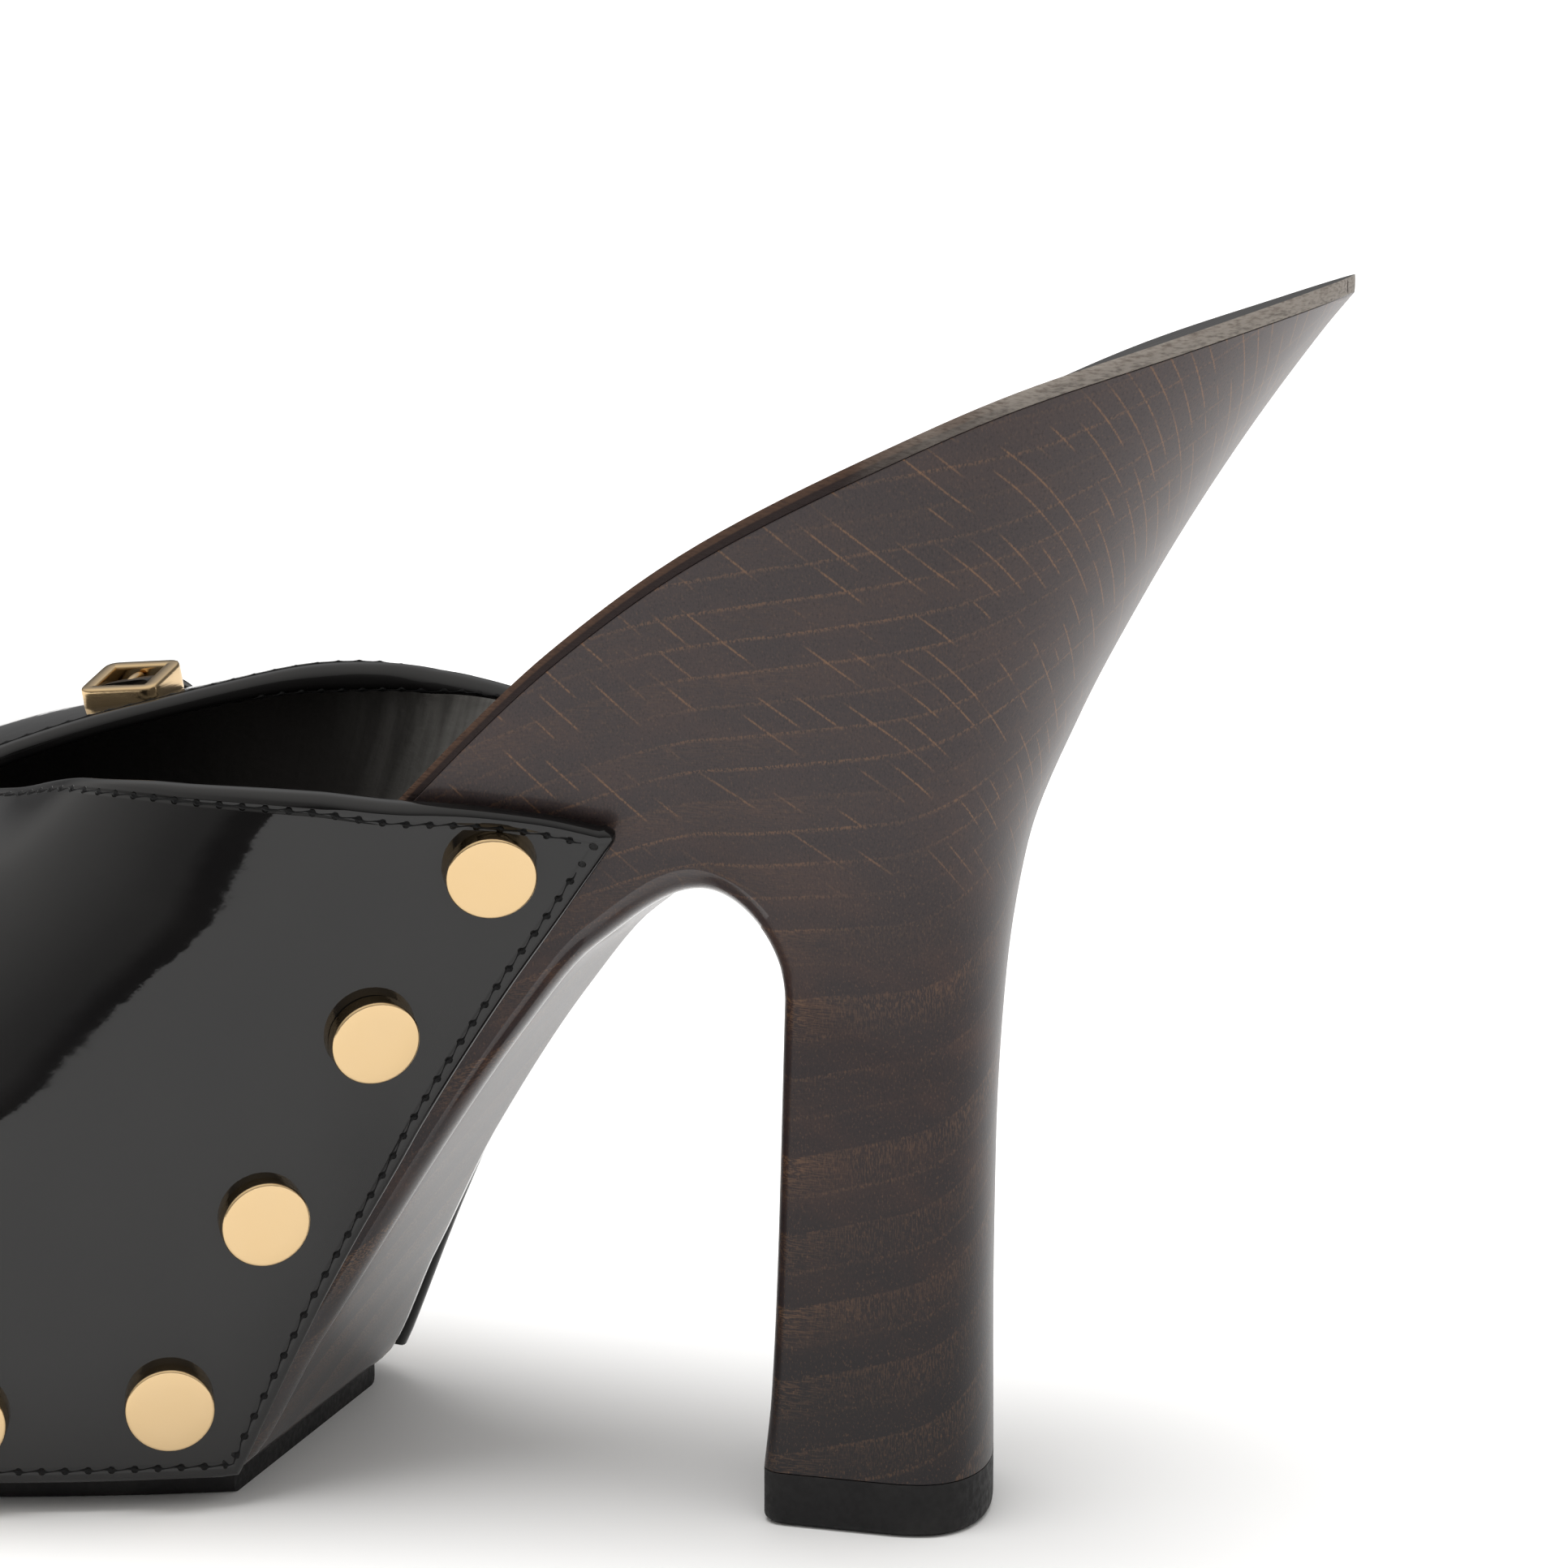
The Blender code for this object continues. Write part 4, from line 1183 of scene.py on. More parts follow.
@dataclass
class Upper:
    """The patent upper: a wall of leather over the last, open at the throat, the back and below."""

    form: SoleForm
    leather: float = 2.0
    gap: float = 0.4
    above_wood_floor: float = 1.5
    bulge_height: float = 8.0
    bulge_share: float = 0.3
    vamp_power: float = 2.2
    sections: tuple[int, ...] = (56, 16, 56, 56, 2)
    columns: int = 70
    wall_points: int = 40
    bulge_points: int = 12
    arc_points: int = 90
    side_start: float = 20.0
    calm_start: float = 12.0
    calm_reach: float = 6.0
    edge_swell: float = 0.8
    tip_height: float = 0.35
    edge_points: int = 9
    stud_reach: float = 6.5
    stud_dent: float = 0.22

    def hem_z(self, y: Array) -> Array:
        """Lower edge: a little above the wood's underside, then up the wing's rear edge."""
        low = SECTIONS.at("bottom", np.minimum(y, self.form.lift_off_y)) + self.above_wood_floor
        return np.where(y > self.form.wing_foot_y, WING_EDGE.at("z", y), low)

    def column_of(self, table: Table, axis: str, y: Array, side: Side) -> Array:
        """Value that shapes a half: its own behind the throat's vertex, a shared one in front.

        Args:
            table: the crown or the throat.
            axis: x or z.
            y: places along the shoe.
            side: which half.

        Returns:
            Values of the column.
        """
        shared = table.at("inner_" + axis, y)
        own = table.at(side.name.lower() + "_" + axis, y)
        return np.where(y > self.form.vertex_y, own, shared)

    def half_lines(self, y: Array, side: Side) -> tuple[Array, Array, Array]:
        """Section lines of one half's inner face, from the lower edge up and over the crown.

        A line follows the wood's side, swells by a parabola above the footbed and turns over the foot
        on a superellipse. The inner half goes on past the crown, down its outer side.

        Args:
            y: places along the shoe.
            side: which half.

        Returns:
            Lines of x and z, and x and z of the point inside each section that they turn round.
        """
        f = self.form
        y = np.asarray(y, float)[:, None]
        toe = f.toe_round(y)
        top = SECTIONS.at("top", y)
        crown_x, crown_z = (self.column_of(CROWN, axis, y, side) for axis in "xz")
        swell = np.minimum(self.bulge_height, self.bulge_share * (crown_z - top))

        def shoulder(which: Side) -> tuple[Array, Array, Array]:
            """Lower end of the leather above the wood.

            Args:
                which: which side.

            Returns:
                x of the edge, its lean outwards and the widest x of the swell.
            """
            wood = f.side_x(y, top, which)
            lean = wood - f.side_x(y, top - 1.0, which)
            edge = wood + which.value * self.gap * toe
            return edge, lean, edge + lean * swell / 2

        def arc(which: Side, angles: Array) -> tuple[Array, Array]:
            """Superellipse from the widest place to the crown.

            Args:
                which: which side.
                angles: from 0 at the widest place to a quarter turn at the crown.

            Returns:
                x and z of its points.
            """
            wide = shoulder(which)[2]
            x = crown_x + (wide - crown_x) * np.cos(angles) ** (2 / self.vamp_power)
            z = top + swell + (crown_z - top - swell) * np.sin(angles) ** (2 / self.vamp_power)
            return x, z

        edge, lean, _ = shoulder(side)
        floor = np.minimum(self.hem_z(y), top - 1.0)
        wall_z = floor + (top - floor) * np.linspace(0.0, 1.0, self.wall_points)[None, :]
        wall_x = f.side_x(y, wall_z, side) + side.value * self.gap * toe
        rise = swell * np.linspace(0.0, 1.0, self.bulge_points)[None, 1:]
        bulge_x = edge + lean * (rise - rise ** 2 / (2 * swell))
        angles = np.linspace(0.0, math.pi / 2, self.arc_points)[None, 1:]
        pieces = [(wall_x, wall_z), (bulge_x, top + rise), arc(side, angles)]
        if side is Side.INNER:
            pieces.append(arc(Side.OUTER, angles[:, -2::-1]))
        x, z = (np.concatenate([piece[k] for piece in pieces], axis=1) for k in (0, 1))
        return np.stack([x, z], axis=-1), crown_x, top

    def inner_face(self, y: Array, side: Side) -> Array:
        """Net of one half's inner face, evenly spaced on each section and cut off at the throat.

        The cut is where the section's bearing round its inner point reaches that of the throat's edge.

        Args:
            y: places along the shoe.
            side: which half.

        Returns:
            Rows, columns and x y z.
        """
        line, hub_x, hub_z = self.half_lines(y, side)
        turn = np.arctan2(line[..., 1] - hub_z, side.value * (line[..., 0] - hub_x))
        turn = np.maximum.accumulate(turn, axis=1)
        rim_x, rim_z = (self.column_of(THROAT, axis, y[:, None], side) for axis in "xz")
        cut = np.arctan2(rim_z - hub_z, side.value * (rim_x - hub_x))
        run = run_along(line)
        end = sample(run[:, :, None], turn, cut)[:, :, 0]
        end = np.where(y[:, None] <= self.form.toe_y + CLOSE, run_to_top(line, run), end)
        datum = run[:, self.wall_points - 1]
        end = np.maximum(self.calm(y, end[:, 0] - datum) + datum, self.tip_height)[:, None]
        spots = end * np.linspace(0.0, 1.0, self.columns)[None, :]
        points = sample(line, run, spots)
        place = y - self.gap * self.form.toe_share(y) ** 2
        return net(points[..., 0], place[:, None], points[..., 1])

    def calm(self, y: Array, rise: Array) -> Array:
        """Even out the cut along the throat: local straight lines, weighted by a Gaussian.

        It leaves the vertex sharp and draws the cut back by the half round edge.

        Args:
            y: places of the sections.
            rise: where each section is cut, along it from the wood's edge.

        Returns:
            Calmer cuts.
        """
        start = self.form.vertex_y
        share = np.clip((y - start) / self.calm_start, 0.0, 1.0)
        away = y[None, :] - y[:, None]
        width = np.maximum(self.calm_reach * share, 0.05)[:, None]
        weight = np.exp(-(away / width) ** 2 / 2) * (np.gradient(y) * (y > start - CLOSE))[None, :]
        mass, lean, spread = (((away ** k) * weight).sum(axis=1) for k in range(3))
        level, tilt = weight @ rise, (away * weight) @ rise
        fitted = (spread * level - lean * tilt) / np.maximum(mass * spread - lean ** 2, 1e-12)
        fitted = fitted - self.leather / 2 * self.edge_swell * share
        return np.where(share > 0.1, fitted, rise)

    def relief(self, points: Array, studs: Array) -> Array:
        """Height of the soft creases and of the dents round the studs.

        A crease is a Gaussian of the distance from its line in side view, a dent one of the distance
        from its stud.

        Args:
            points: rows, columns and x y z.
            studs: middles of the studs.

        Returns:
            Heights at the points.
        """
        side_view = points[..., None, 1:]
        start = np.stack([CREASES.values["y0"], CREASES.values["z0"]], axis=-1)
        along = np.stack([CREASES.values["y1"], CREASES.values["z1"]], axis=-1) - start
        share = np.clip(((side_view - start) * along).sum(-1) / (along ** 2).sum(-1), 0.0, 1.0)
        away = np.linalg.norm(side_view - start - share[..., None] * along, axis=-1)
        height = (CREASES.values["height"] * np.exp(-(away / CREASES.values["width"]) ** 2)).sum(-1)
        reach = np.linalg.norm(points[..., None, :] - studs, axis=-1).min(-1)
        return height - self.stud_dent * np.exp(-(reach / self.stud_reach) ** 2)

    def edge_map(self, points: Array, line: Array) -> Array:
        """Distance along an edge and away from it, from the nearest of its points and its direction.

        The step along the edge stays within the spacing of its points, so that nothing runs on past
        a corner or an end.

        Args:
            points: rows, columns and x y z.
            line: points of the edge.

        Returns:
            Rows, columns and the two distances.
        """
        run = run_along(line)
        gap = np.gradient(run)
        way = unit(np.gradient(line, axis=0))
        made = []
        for rows in np.array_split(points, max(1, len(points) // 12)):
            reach = np.linalg.norm(rows[..., None, :] - line, axis=-1)
            near = reach.argmin(-1)
            step = rows - line[near]
            ahead = np.clip((step * way[near]).sum(-1), -gap[near], gap[near])
            away = np.sqrt(np.maximum((step ** 2).sum(-1) - ahead ** 2, 0.0))
            made.append(np.stack([run[near] + ahead, away], axis=-1))
        return np.concatenate(made)

    def edge_band(self, outer: Array, inner: Array, ahead: Array) -> Array:
        """Half round edge between the outer and the inner face.

        Args:
            outer: points along the outer face's edge.
            inner: points along the inner face's edge.
            ahead: vectors that lead over the edge.

        Returns:
            Rows along the edge, points round it and x y z.
        """
        middle, half = (outer + inner) / 2, (outer - inner) / 2
        along = unit(np.gradient(middle, axis=0))
        thick = np.linalg.norm(half, axis=-1, keepdims=True)
        over = unit(np.cross(along, unit(half)))
        over = over * np.sign((over * ahead).sum(-1, keepdims=True)) * thick * self.edge_swell
        angle = np.linspace(0.0, math.pi, self.edge_points)[None, :, None]
        return middle[:, None] + half[:, None] * np.cos(angle) + over[:, None] * np.sin(angle)

    def edges(self, outer: dict[Side, Array], behind: Array) -> tuple[Array, Array]:
        """Throat and hem of the outer face, each from the outer wing round the front to the inner wing.

        Args:
            outer: outer nets of both halves.
            behind: numbers of the rows behind the throat's vertex.

        Returns:
            Points of the throat and of the hem.
        """
        near, far = outer[Side.OUTER], outer[Side.INNER]
        rim = np.concatenate([near[behind[::-1], -1], far[behind[1:], -1]])
        hem = np.concatenate([near[::-1, 0], far[1:, 0]])
        return rim, hem

    def border(self, face: Array, behind: Array) -> Array:
        """Points round a half's edge: along the throat, down the wing's tip and back along the hem."""
        return np.concatenate([face[behind, -1], face[-1, -2:0:-1], face[::-1, 0]])

    def ahead(self, face: Array) -> Array:
        """Steps that lead out of a face over its throat, its tip and its hem.

        Args:
            face: rows, columns and x y z.

        Returns:
            Vectors at the edges, in an array of the same shape.
        """
        steps = np.zeros_like(face)
        steps[-1] = face[-1] - face[-2]
        steps[:, -1] = face[:, -1] - face[:, -2]
        steps[:, 0] = face[:, 0] - face[:, 1]
        return steps

    def faces(self, studs: Array) -> tuple[Array, dict[Side, Array], dict[Side, Array]]:
        """Inner and outer nets of both halves, the outer one a leather's thickness along the facing.

        Args:
            studs: middles of the studs.

        Returns:
            Places of the rows, inner nets and outer nets.
        """
        f = self.form
        y = f.stations(*self.sections)
        y = y[y <= f.wing_tip_y + CLOSE]
        inner = {side: self.inner_face(y, side) for side in Side}
        facing = {side: facing_of(inner[side], side.value) for side in Side}
        seam = y <= f.vertex_y + CLOSE
        shared = unit(facing[Side.OUTER][seam, -1] + facing[Side.INNER][seam, -1])
        tip = unit(facing[Side.OUTER][0] + facing[Side.INNER][0])
        outer = {}
        for side in Side:
            facing[side][seam, -1] = shared
            facing[side][0] = tip
            rise = self.leather + self.relief(inner[side], studs)
            outer[side] = inner[side] + facing[side] * rise[..., None]
        return y, inner, outer

    def build(self, patent: Material, lining: Material, studs: Array) -> Piece:
        """Outer face, lining, and half round bands along throat, hem and wing tips.

        Args:
            patent: finish of the outer face and the edges.
            lining: finish of the inner face.
            studs: middles of the studs.

        Returns:
            The piece.
        """
        y, inner, outer = self.faces(studs)
        behind = np.flatnonzero(y >= self.form.vertex_y - CLOSE)
        rim, hem = self.edges(outer, behind)
        draft = Draft("patent_upper")
        for side in Side:
            for finish, faces in enumerate((outer, inner)):
                maps = {"rim": self.edge_map(faces[side], rim), "hem": self.edge_map(faces[side], hem)}
                draft.add(faces[side], finish, maps)
            edges = [self.border(face, behind) for face in (outer[side], inner[side])]
            draft.add(self.edge_band(*edges, self.border(self.ahead(outer[side]), behind)))
        return draft.build([patent, lining], Slot.PATENT, ["upper"])

    def strap_net(self, down: Array, y: Array) -> tuple[Array, Array]:
        """Outer face of the upper at distances from its crown down the inner side, and its facing.

        Args:
            down: distances, negative on the outer side of the crown.
            y: places along the shoe.

        Returns:
            Net of points with a row for each distance, and unit vectors.
        """
        line, _, _ = self.half_lines(y, Side.INNER)
        run = run_along(line)
        points = sample(line, run, run_to_top(line, run) - down[None, :]).transpose(1, 0, 2)
        grid = net(points[..., 0], y[None, :], points[..., 1])
        facing = facing_of(grid, 1.0)
        above = (down < self.side_start)[:, None, None]
        facing = facing * np.sign(np.where(above, facing[..., 2:], -facing[..., :1]))
        return grid + facing * self.leather, facing


@dataclass
class Stitching:
    """Rows of thread along the throat and round the lower edge of the upper."""

    upper: Upper
    pitch: float = 2.2
    inset: float = 0.75
    slack: float = 0.2
    skip: int = 9
    thread: float = 0.05
    shade_bead: float = 0.27
    shade_bead_share: float = 0.17
    slant: float = 0.07
    sink: float = 0.14
    lining_inset: float = 2.2
    near_columns: int = 40

    def row(self, face: Array, edge: Array, inset: float, from_end: bool) -> tuple[Array, Array]:
        """Line on a face at a distance from its edge: on each section, where the distance reaches it.

        Args:
            face: rows, columns and x y z.
            edge: points of the edge.
            inset: distance from the edge.
            from_end: whether the edge lies at the last column.

        Returns:
            Points of the line with their facing, and their distances along the edge.
        """
        both = np.concatenate([face, facing_of(face, 1.0), self.upper.edge_map(face, edge)], axis=-1)
        both = (both[:, ::-1] if from_end else both)[:, :self.near_columns]
        away = np.maximum.accumulate(both[..., 7], axis=1)
        reached = away[:, -1] > inset + self.slack
        found = sample(both[reached], away[reached], np.full((reached.sum(), 1), inset))[:, 0]
        found = found[np.argsort(found[:, 6])]
        return found[:, :6], found[:, 6]

    def thread_and_shade_beads(self, line: Array, run: Array, way: float) -> Array:
        """Stitches of one row: a thin thread that lies askew from hole to hole and swells at each hole
        into a black bead, which stands in for the shade inside the hole as well as the thread.

        The swelling is a Gaussian of the distance from the hole.

        Args:
            line: points of the row and their facing.
            run: distance of each point along the edge.
            way: 1 or -1, to turn the facing outwards.

        Returns:
            Stack of nets.
        """
        first, last = math.ceil(run[0] / self.pitch), math.floor(run[-1] / self.pitch)
        share = np.array([-0.5, -0.3, -0.2, -0.12, -0.05, 0.05, 0.12, 0.2, 0.3, 0.5])
        spots = (np.arange(first, last)[:, None] + 0.5 + share[None, :]) * self.pitch
        found = sample(line[None], run[None], spots.reshape(1, -1))[0].reshape(spots.shape + (6,))
        out = way * unit(found[..., 3:])
        aside = unit(np.cross(np.gradient(found[..., :3], axis=1), out))
        # painted shade: the black swelling at each hole stands in for the shade inside the hole
        swell = np.exp(-(share / self.shade_bead_share) ** 2)
        shift = aside * (self.slant * np.sin(2 * math.pi * share))[None, :, None]
        path = found[..., :3] + shift - out * (self.sink * swell)[None, :, None]
        forward = unit(np.gradient(path, axis=1))
        across = unit(np.cross(forward, out))
        up = np.cross(across, forward)
        turn = np.linspace(0.0, 2 * math.pi, 9)[None, None, :, None]
        radius = self.thread + self.shade_bead * swell
        ring = across[:, :, None] * np.cos(turn) + up[:, :, None] * np.sin(turn)
        return path[:, :, None] + radius[None, :, None, None] * ring

    def build(self, thread: Material, studs: Array) -> Piece:
        """Sew both rims, on the outer face and on the lining, and the whole lower edge.

        The rims' rows start a few sections behind the throat's vertex, where they would run together.

        Args:
            thread: the finish.
            studs: middles of the studs, which shape the outer face.

        Returns:
            The piece.
        """
        y, inner, outer = self.upper.faces(studs)
        behind = np.flatnonzero(y >= self.upper.form.vertex_y - CLOSE)
        rim, hem = self.upper.edges(outer, behind)
        draft = Draft("upper_stitches")
        for side in Side:
            rows = (outer, side.value, self.inset), (inner, -side.value, self.lining_inset)
            for faces, way, inset in rows:
                line, run = self.row(faces[side][behind[self.skip:]], rim, inset, True)
                draft.add(self.thread_and_shade_beads(line, run, way))
            line, run = self.row(outer[side], hem, self.inset, False)
            draft.add(self.thread_and_shade_beads(line, run, side.value))
        return draft.build([thread], Slot.PATENT)


@dataclass
class Studs:
    """Flat gold studs that nail the upper to the wood, each turned from one profile."""

    frame: dict[str, Any]
    radius: float = 4.25
    height: float = 1.1
    root: float = 0.55
    rounding: float = 0.3
    segments: int = 56
    face_rings: Triple = (2.6, 1.2, 0.0)
    toe_hub_y: float = -45.0

    def names(self) -> list[str]:
        """Names of the stud nodes in order."""
        return sorted(name for name in self.frame["nodes"] if name.startswith("stud_"))

    def seat(self, name: str) -> tuple[Array, Array]:
        """Middle of a stud's node and its axis: the direction in which its points spread least.

        Args:
            name: the node.

        Returns:
            Middle in millimetres and a unit vector away from the shoe.
        """
        mesh = self.frame["nodes"][name].data
        points = np.empty(len(mesh.vertices) * 3)
        mesh.vertices.foreach_get("co", points)
        points = np.unique(np.round(points.reshape(-1, 3) / MM, 4), axis=0)
        middle = (points.min(axis=0) + points.max(axis=0)) / 2
        axis = np.linalg.svd(points - points.mean(axis=0))[2][2]
        hub = np.array([0.0, max(middle[1], self.toe_hub_y), middle[2]])
        return middle, axis * np.sign(axis @ (middle - hub))

    def middles(self) -> Array:
        """Middles of all studs."""
        return np.array([self.seat(name)[0] for name in self.names()])

    def build(self, gold: Material) -> None:
        """Turn the profile of each stud round its axis: wall, quarter round and flat face.

        Args:
            gold: the finish.
        """
        turn = np.linspace(0.0, math.pi / 2, 8)
        rims = self.radius - self.rounding * (1 - np.cos(turn))
        tops = self.height - self.rounding * (1 - np.sin(turn))
        radius = np.concatenate([[0.0, self.radius], rims, self.face_rings])
        height = np.concatenate([[-self.root] * 2, tops, [self.height] * len(self.face_rings)])
        around = np.linspace(0.0, 2 * math.pi, self.segments + 1)
        for name in self.names():
            middle, axis = self.seat(name)
            across = unit(np.cross(axis, (0.0, 0.0, 1.0)))
            up = np.cross(across, axis)
            ring = np.cos(around)[:, None] * across + np.sin(around)[:, None] * up
            rise = (height - self.height / 2)[None, :, None] * axis
            draft = Draft("gold_" + name)
            draft.add(middle + ring[:, None, :] * radius[None, :, None] + rise)
            draft.build([gold], Slot.GOLD, [name])


@dataclass
class StrapAndBuckle:
    """Thin strap over the crown and down the inner side, with a small gold buckle at its end."""

    upper: Upper
    y: float = -16.5
    start: float = -3.2
    end: float = 54.0
    width: float = 5.3
    thickness: float = 1.0
    strap_gap: float = 0.25
    turn: float = math.radians(12.0)
    rise: float = math.radians(5.0)
    size: float = 8.4
    bar: float = 1.5
    bar_height: float = 3.0
    drop: float = 0.5
    lift: float = 0.8
    corner: float = 14.0
    strap_square: float = 0.5
    bar_square: float = 0.28
    prong: float = 1.0
    prong_clear: float = 0.2
    prong_z: float = 0.45
    prong_bow: float = 0.35
    prong_taper: float = 0.25
    prong_tip: float = 24.0

    def build_strap(self, leather: Material) -> Piece:
        """A flat superellipse carried over the vamp, closed by a point at both ends.

        Args:
            leather: the finish.

        Returns:
            The piece.
        """
        turn = np.linspace(0.0, 2 * math.pi, 33)
        across, up = (wave / 2 for wave in squircle(turn, self.strap_square))
        down = np.linspace(self.start, self.end, 64)
        shares = np.linspace(-0.5, 0.5, 9)
        foot, facing = self.upper.strap_net(down, self.y + self.width * shares)
        place = (across + 0.5) * (len(shares) - 1)
        low = np.clip(place.astype(int), 0, len(shares) - 2)
        share = (place - low)[None, :, None]
        foot, facing = (a[:, low] + (a[:, low + 1] - a[:, low]) * share for a in (foot, facing))
        lift = self.strap_gap + self.lift * np.exp(-((down - self.start) / self.size) ** 2)
        grid = foot + facing * (lift[:, None] + (self.thickness * (0.5 + up))[None, :])[..., None]
        grid[:, -1] = grid[:, 0]
        caps = [np.repeat(grid[k].mean(axis=0)[None, None], len(turn), axis=1) for k in (0, -1)]
        draft = Draft("strap_leather")
        draft.add(np.concatenate([caps[0], grid, caps[1]]))
        return draft.build([leather], Slot.PATENT, ["strap"])

    def seat(self) -> tuple[Array, Array]:
        """Middle of the buckle's node, and the turn of its own axes.

        Returns:
            Middle in millimetres and a 3 by 3 matrix.
        """
        low, high = (np.array(corner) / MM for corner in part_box("buckle_frame"))
        turn = Matrix.Rotation(self.rise, 3, "X") @ Matrix.Rotation(self.turn, 3, "Y")
        return (low + high) / 2 - (0.0, 0.0, self.drop), np.array(turn)

    def build_frame(self, gold: Material) -> Piece:
        """A soft-edged bar carried round a square with rounded corners.

        The path is a superellipse of a high power.

        Args:
            gold: the finish.

        Returns:
            The piece.
        """
        middle, turn = self.seat()
        path = np.linspace(0.0, 2 * math.pi, 129)
        wave = np.stack([np.cos(path), np.sin(path)], axis=-1)
        reach = (np.abs(wave) ** self.corner).sum(-1, keepdims=True) ** (-1 / self.corner)
        line = np.pad(wave * reach * (self.size - self.bar) / 2, ((0, 0), (0, 1)))
        out = unit(np.cross(np.gradient(line, axis=0), (0.0, 0.0, 1.0)))
        out[0] = out[-1] = (1.0, 0.0, 0.0)
        flat, tall = squircle(np.linspace(0.0, 2 * math.pi, 25), self.bar_square)
        section = net(0.0, 0.0, tall * self.bar_height / 2) + out[:, None] * flat[:, None] * self.bar / 2
        grid = line[:, None] + section
        draft = Draft("gold_frame")
        draft.add(middle + grid @ turn.T)
        return draft.build([gold], Slot.GOLD, ["buckle_frame"])

    def build_prong(self, gold: Material) -> Piece:
        """A round rod that tapers and bows up a little, from the far bar to the near one.

        Args:
            gold: the finish.

        Returns:
            The piece.
        """
        middle, turn = self.seat()
        share = np.linspace(0.0, 1.0, 30)
        reach = self.size / 2 - self.bar - self.prong_clear
        bow = self.prong_z + self.prong_bow * np.sin(math.pi * share)
        line = net(reach * (2 * share - 1), 0.0, bow)
        blunt = np.sqrt(np.clip(np.minimum(share, 1 - share) * self.prong_tip, 0.0, 1.0))
        radius = self.prong / 2 * (1.0 - self.prong_taper * share) * blunt
        around = np.linspace(0.0, 2 * math.pi, 21)
        ring = net(0.0, np.cos(around), np.sin(around))
        draft = Draft("gold_prong")
        draft.add(middle + (line[:, None] + ring[None] * radius[:, None, None]) @ turn.T)
        return draft.build([gold], Slot.GOLD, ["buckle_prong"])


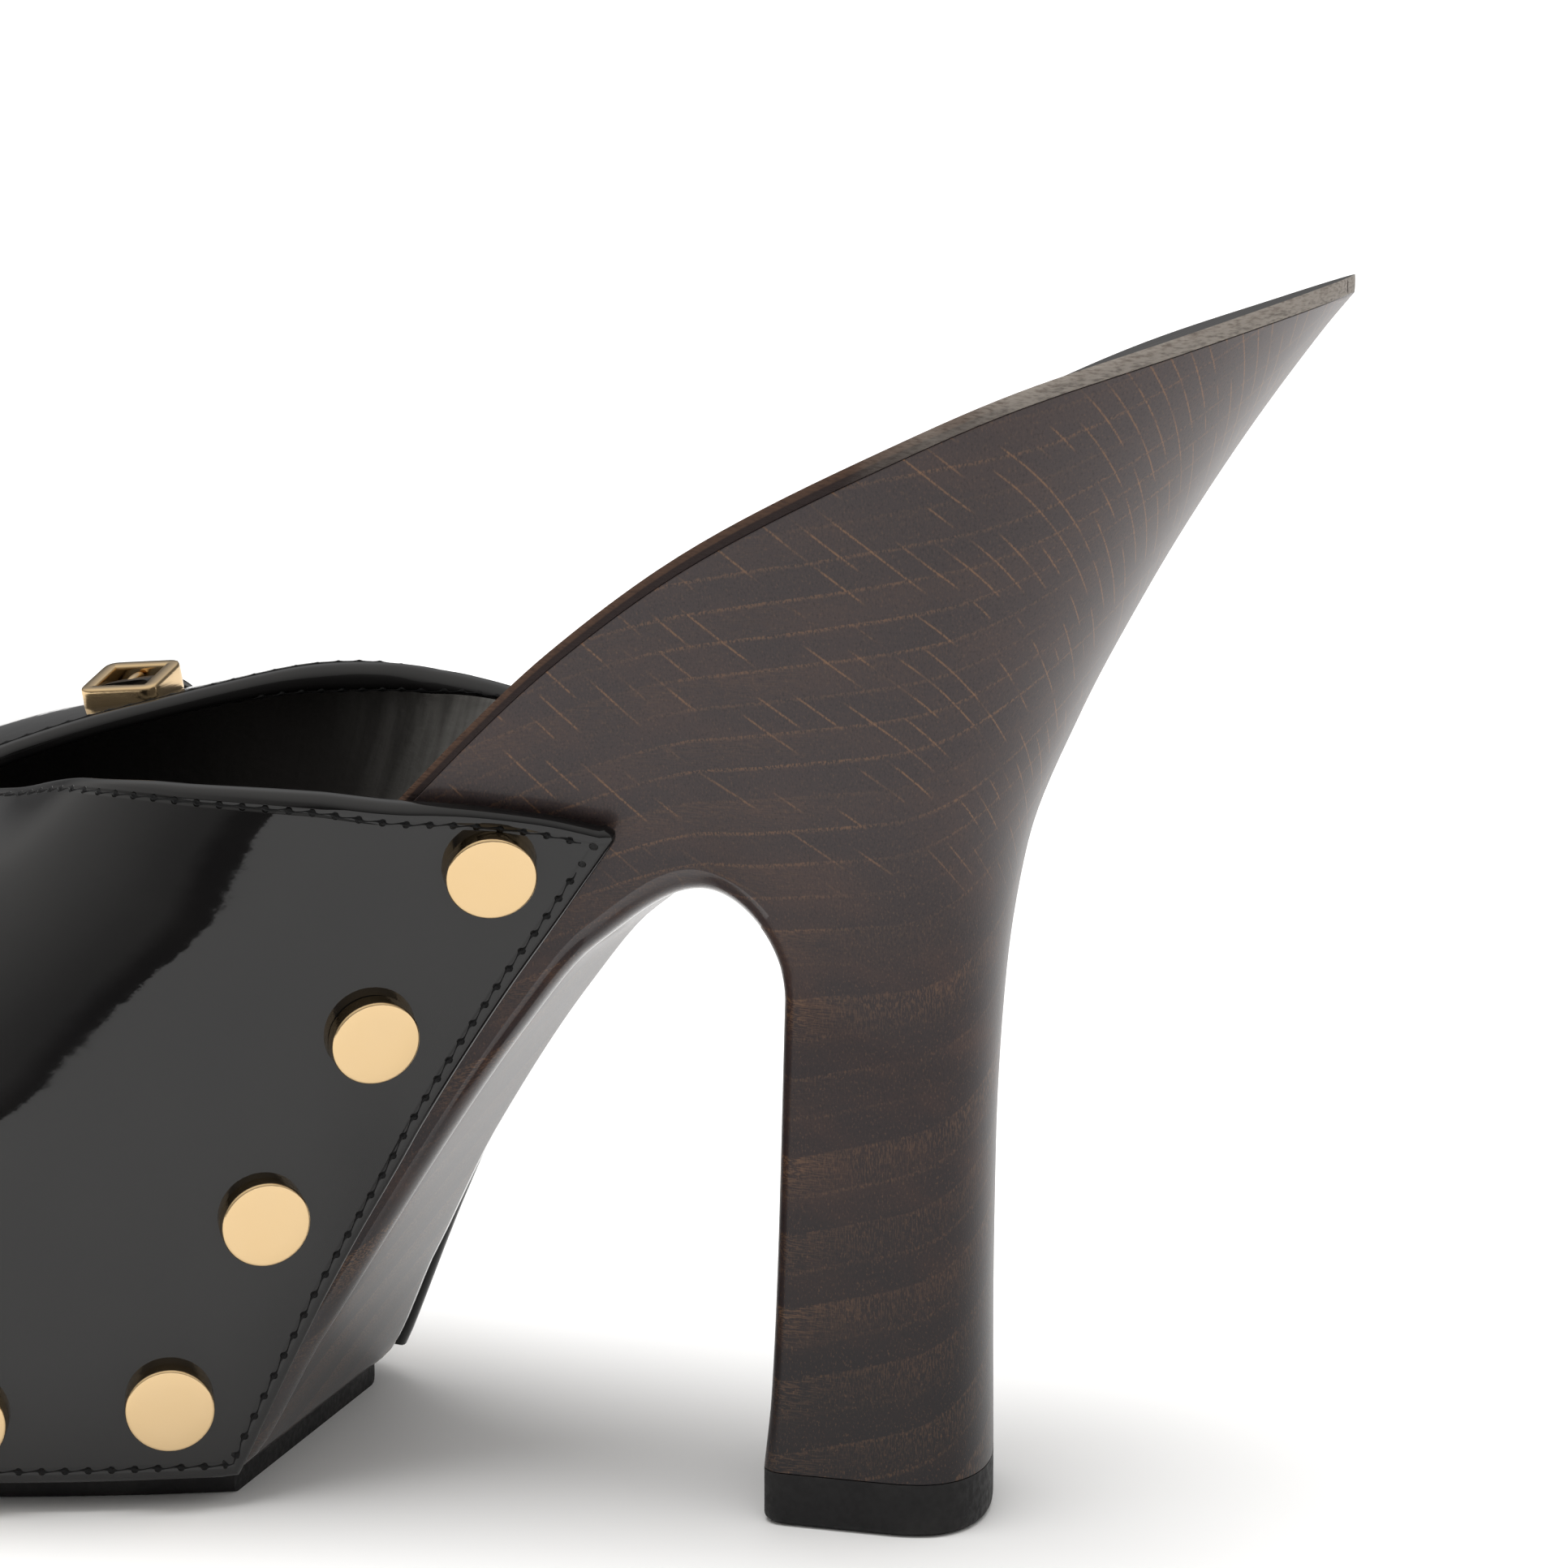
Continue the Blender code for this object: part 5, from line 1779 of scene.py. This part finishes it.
@dataclass(frozen=True)
class Studio:
    """Floor, lights and the camera at the photograph's angle."""

    camera_place: Triple = (0.4413, 0.18435, 0.1513)
    camera_turn: float = math.radians(16.296)
    camera_pitch: float = math.radians(10.137)
    lens: float = 112.6
    sensor: float = 36.0
    floor_near: float = 0.30
    floor_far: float = -40.0
    floor_side: float = 40.0
    sun_height: float = 1.5
    sun_power: float = 2.6
    sun_spread: float = math.radians(45.0)
    sun_tilt: Triple = (math.radians(5.0), math.radians(3.0), 0.0)
    white: float = 0.65
    room: tuple[tuple[float, float], ...] = (
        (-0.2, 0.004), (-0.13, 0.02), (-0.05, 0.28), (0.1, 0.38), (0.5, 0.78), (0.9, 1.0))
    far_end: tuple[float, float] = (-0.2, -0.6)
    far_gloss: float = 0.16
    top_gloss: float = 0.9
    gloss_rise: tuple[float, float] = (0.3, 0.8)
    tint: Triple = (1.0, 0.985, 0.955)

    def build_floor(self, finish: Material) -> None:
        """A flat pale floor that ends in front of the camera, below its view.

        Args:
            finish: the floor's material.
        """
        x, y = (self.floor_far, self.floor_near), (-self.floor_side, self.floor_side)
        corners = [(x[0], y[0], 0.0), (x[1], y[0], 0.0), (x[1], y[1], 0.0), (x[0], y[1], 0.0)]
        mesh = bpy.data.meshes.new("floor")
        mesh.from_pydata(corners, [], [(0, 1, 2, 3)])
        mesh.materials.append(finish)
        floor = bpy.data.objects.new("floor", mesh)
        bpy.context.scene.collection.objects.link(floor)

    def build_lamp(self) -> None:
        """One wide soft lamp overhead, that lights near and far floor alike."""
        lamp = bpy.data.lights.new("overhead", "SUN")
        lamp.energy = self.sun_power
        lamp.angle = self.sun_spread
        hung = bpy.data.objects.new("overhead", lamp)
        hung.location = (0.0, 0.0, self.sun_height)
        hung.rotation_euler = self.sun_tilt
        bpy.context.scene.collection.objects.link(hung)
        hung.visible_glossy = False

    def build_world(self) -> None:
        """Surroundings: a room that is dark low down and grows light with height.

        Its far end lights the scene in white, mirrors see that end dim, and the camera sees white.
        """
        world = bpy.data.worlds.new("studio")
        bpy.context.scene.world = world
        world.use_nodes = True
        g = Graph(world.node_tree, "Generated")
        x, _, z = g.node("SeparateXYZ", g.places).outputs
        ramp = g.node("ValToRGB", g.node("MapRange", z, -1.0).outputs[0])
        while len(ramp.color_ramp.elements) < len(self.room):
            ramp.color_ramp.elements.new(0.5)
        for element, (place, level) in zip(ramp.color_ramp.elements, self.room):
            element.position = (place + 1.0) / 2
            element.color = (*(level * share for share in self.tint), 1.0)
        seen = g.node("LightPath").outputs
        dim = g.node("MapRange", z, *self.gloss_rise, self.far_gloss, self.top_gloss).outputs[0]
        far = g.blend(seen["Is Glossy Ray"], (self.white,) * 3, dim)
        shown = g.math("MAXIMUM", g.step(x, *self.far_end), seen["Is Camera Ray"])
        g.put(g.blend(shown, ramp.outputs["Color"], far), g.tree.nodes["Background"].inputs["Color"])

    def build_camera(self) -> None:
        """The camera looks along the fitted direction, level, with the photograph's field of view."""
        ahead = Vector((-math.cos(self.camera_turn), -math.sin(self.camera_turn), 0.0))
        up = Vector((0.0, 0.0, 1.0))
        forward = ahead * math.cos(self.camera_pitch) - up * math.sin(self.camera_pitch)
        above = ahead * math.sin(self.camera_pitch) + up * math.cos(self.camera_pitch)
        right = forward.cross(above)
        lens = bpy.data.cameras.new("camera")
        lens.sensor_fit = "HORIZONTAL"
        lens.sensor_width = self.sensor
        lens.lens = self.lens
        lens.clip_start = 0.01
        camera = bpy.data.objects.new("camera", lens)
        turn = Matrix((right, above, -forward)).transposed().to_4x4()
        camera.matrix_world = Matrix.Translation(self.camera_place) @ turn
        bpy.context.scene.collection.objects.link(camera)
        bpy.context.scene.camera = camera

    def build(self) -> None:
        """Set up camera, floor, surroundings and lamps."""
        self.build_camera()
        self.build_floor(StudioFloor().make())
        self.build_world()
        self.build_lamp()
        bpy.context.scene.view_settings.view_transform = "Standard"


def main() -> None:
    """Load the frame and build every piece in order."""
    logging.basicConfig(level=logging.INFO, format="%(name)s: %(message)s")
    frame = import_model()
    form = SoleForm()
    kinds = PatentLeather, Lining, PolishedGold, BlackRubber
    patent, lining, gold, rubber = (kind().make() for kind in kinds)
    studs = Studs(frame)
    sole = WoodenSole(form)
    underside = StainedWood("underside", coat=0.45, coat_blur=0.1)
    woods = StainedWood(), underside, StainedWood("lip", coat=1.0, coat_blur=0.07)
    sole.build_wood([wood.make() for wood in woods])
    sole.build_heel_piece(rubber)
    sole.build_outsole(rubber)
    sole.build_insole(InsoleTop().make(), RawEdge().make())
    upper = Upper(form)
    upper.build(patent, lining, studs.middles())
    Stitching(upper).build(Thread().make(), studs.middles())
    studs.build(gold)
    fastening = StrapAndBuckle(upper)
    fastening.build_strap(PatentLeather(stitched=False).make())
    fastening.build_frame(gold)
    fastening.build_prong(gold)
    Studio().build()


if __name__ == "__main__":
    main()
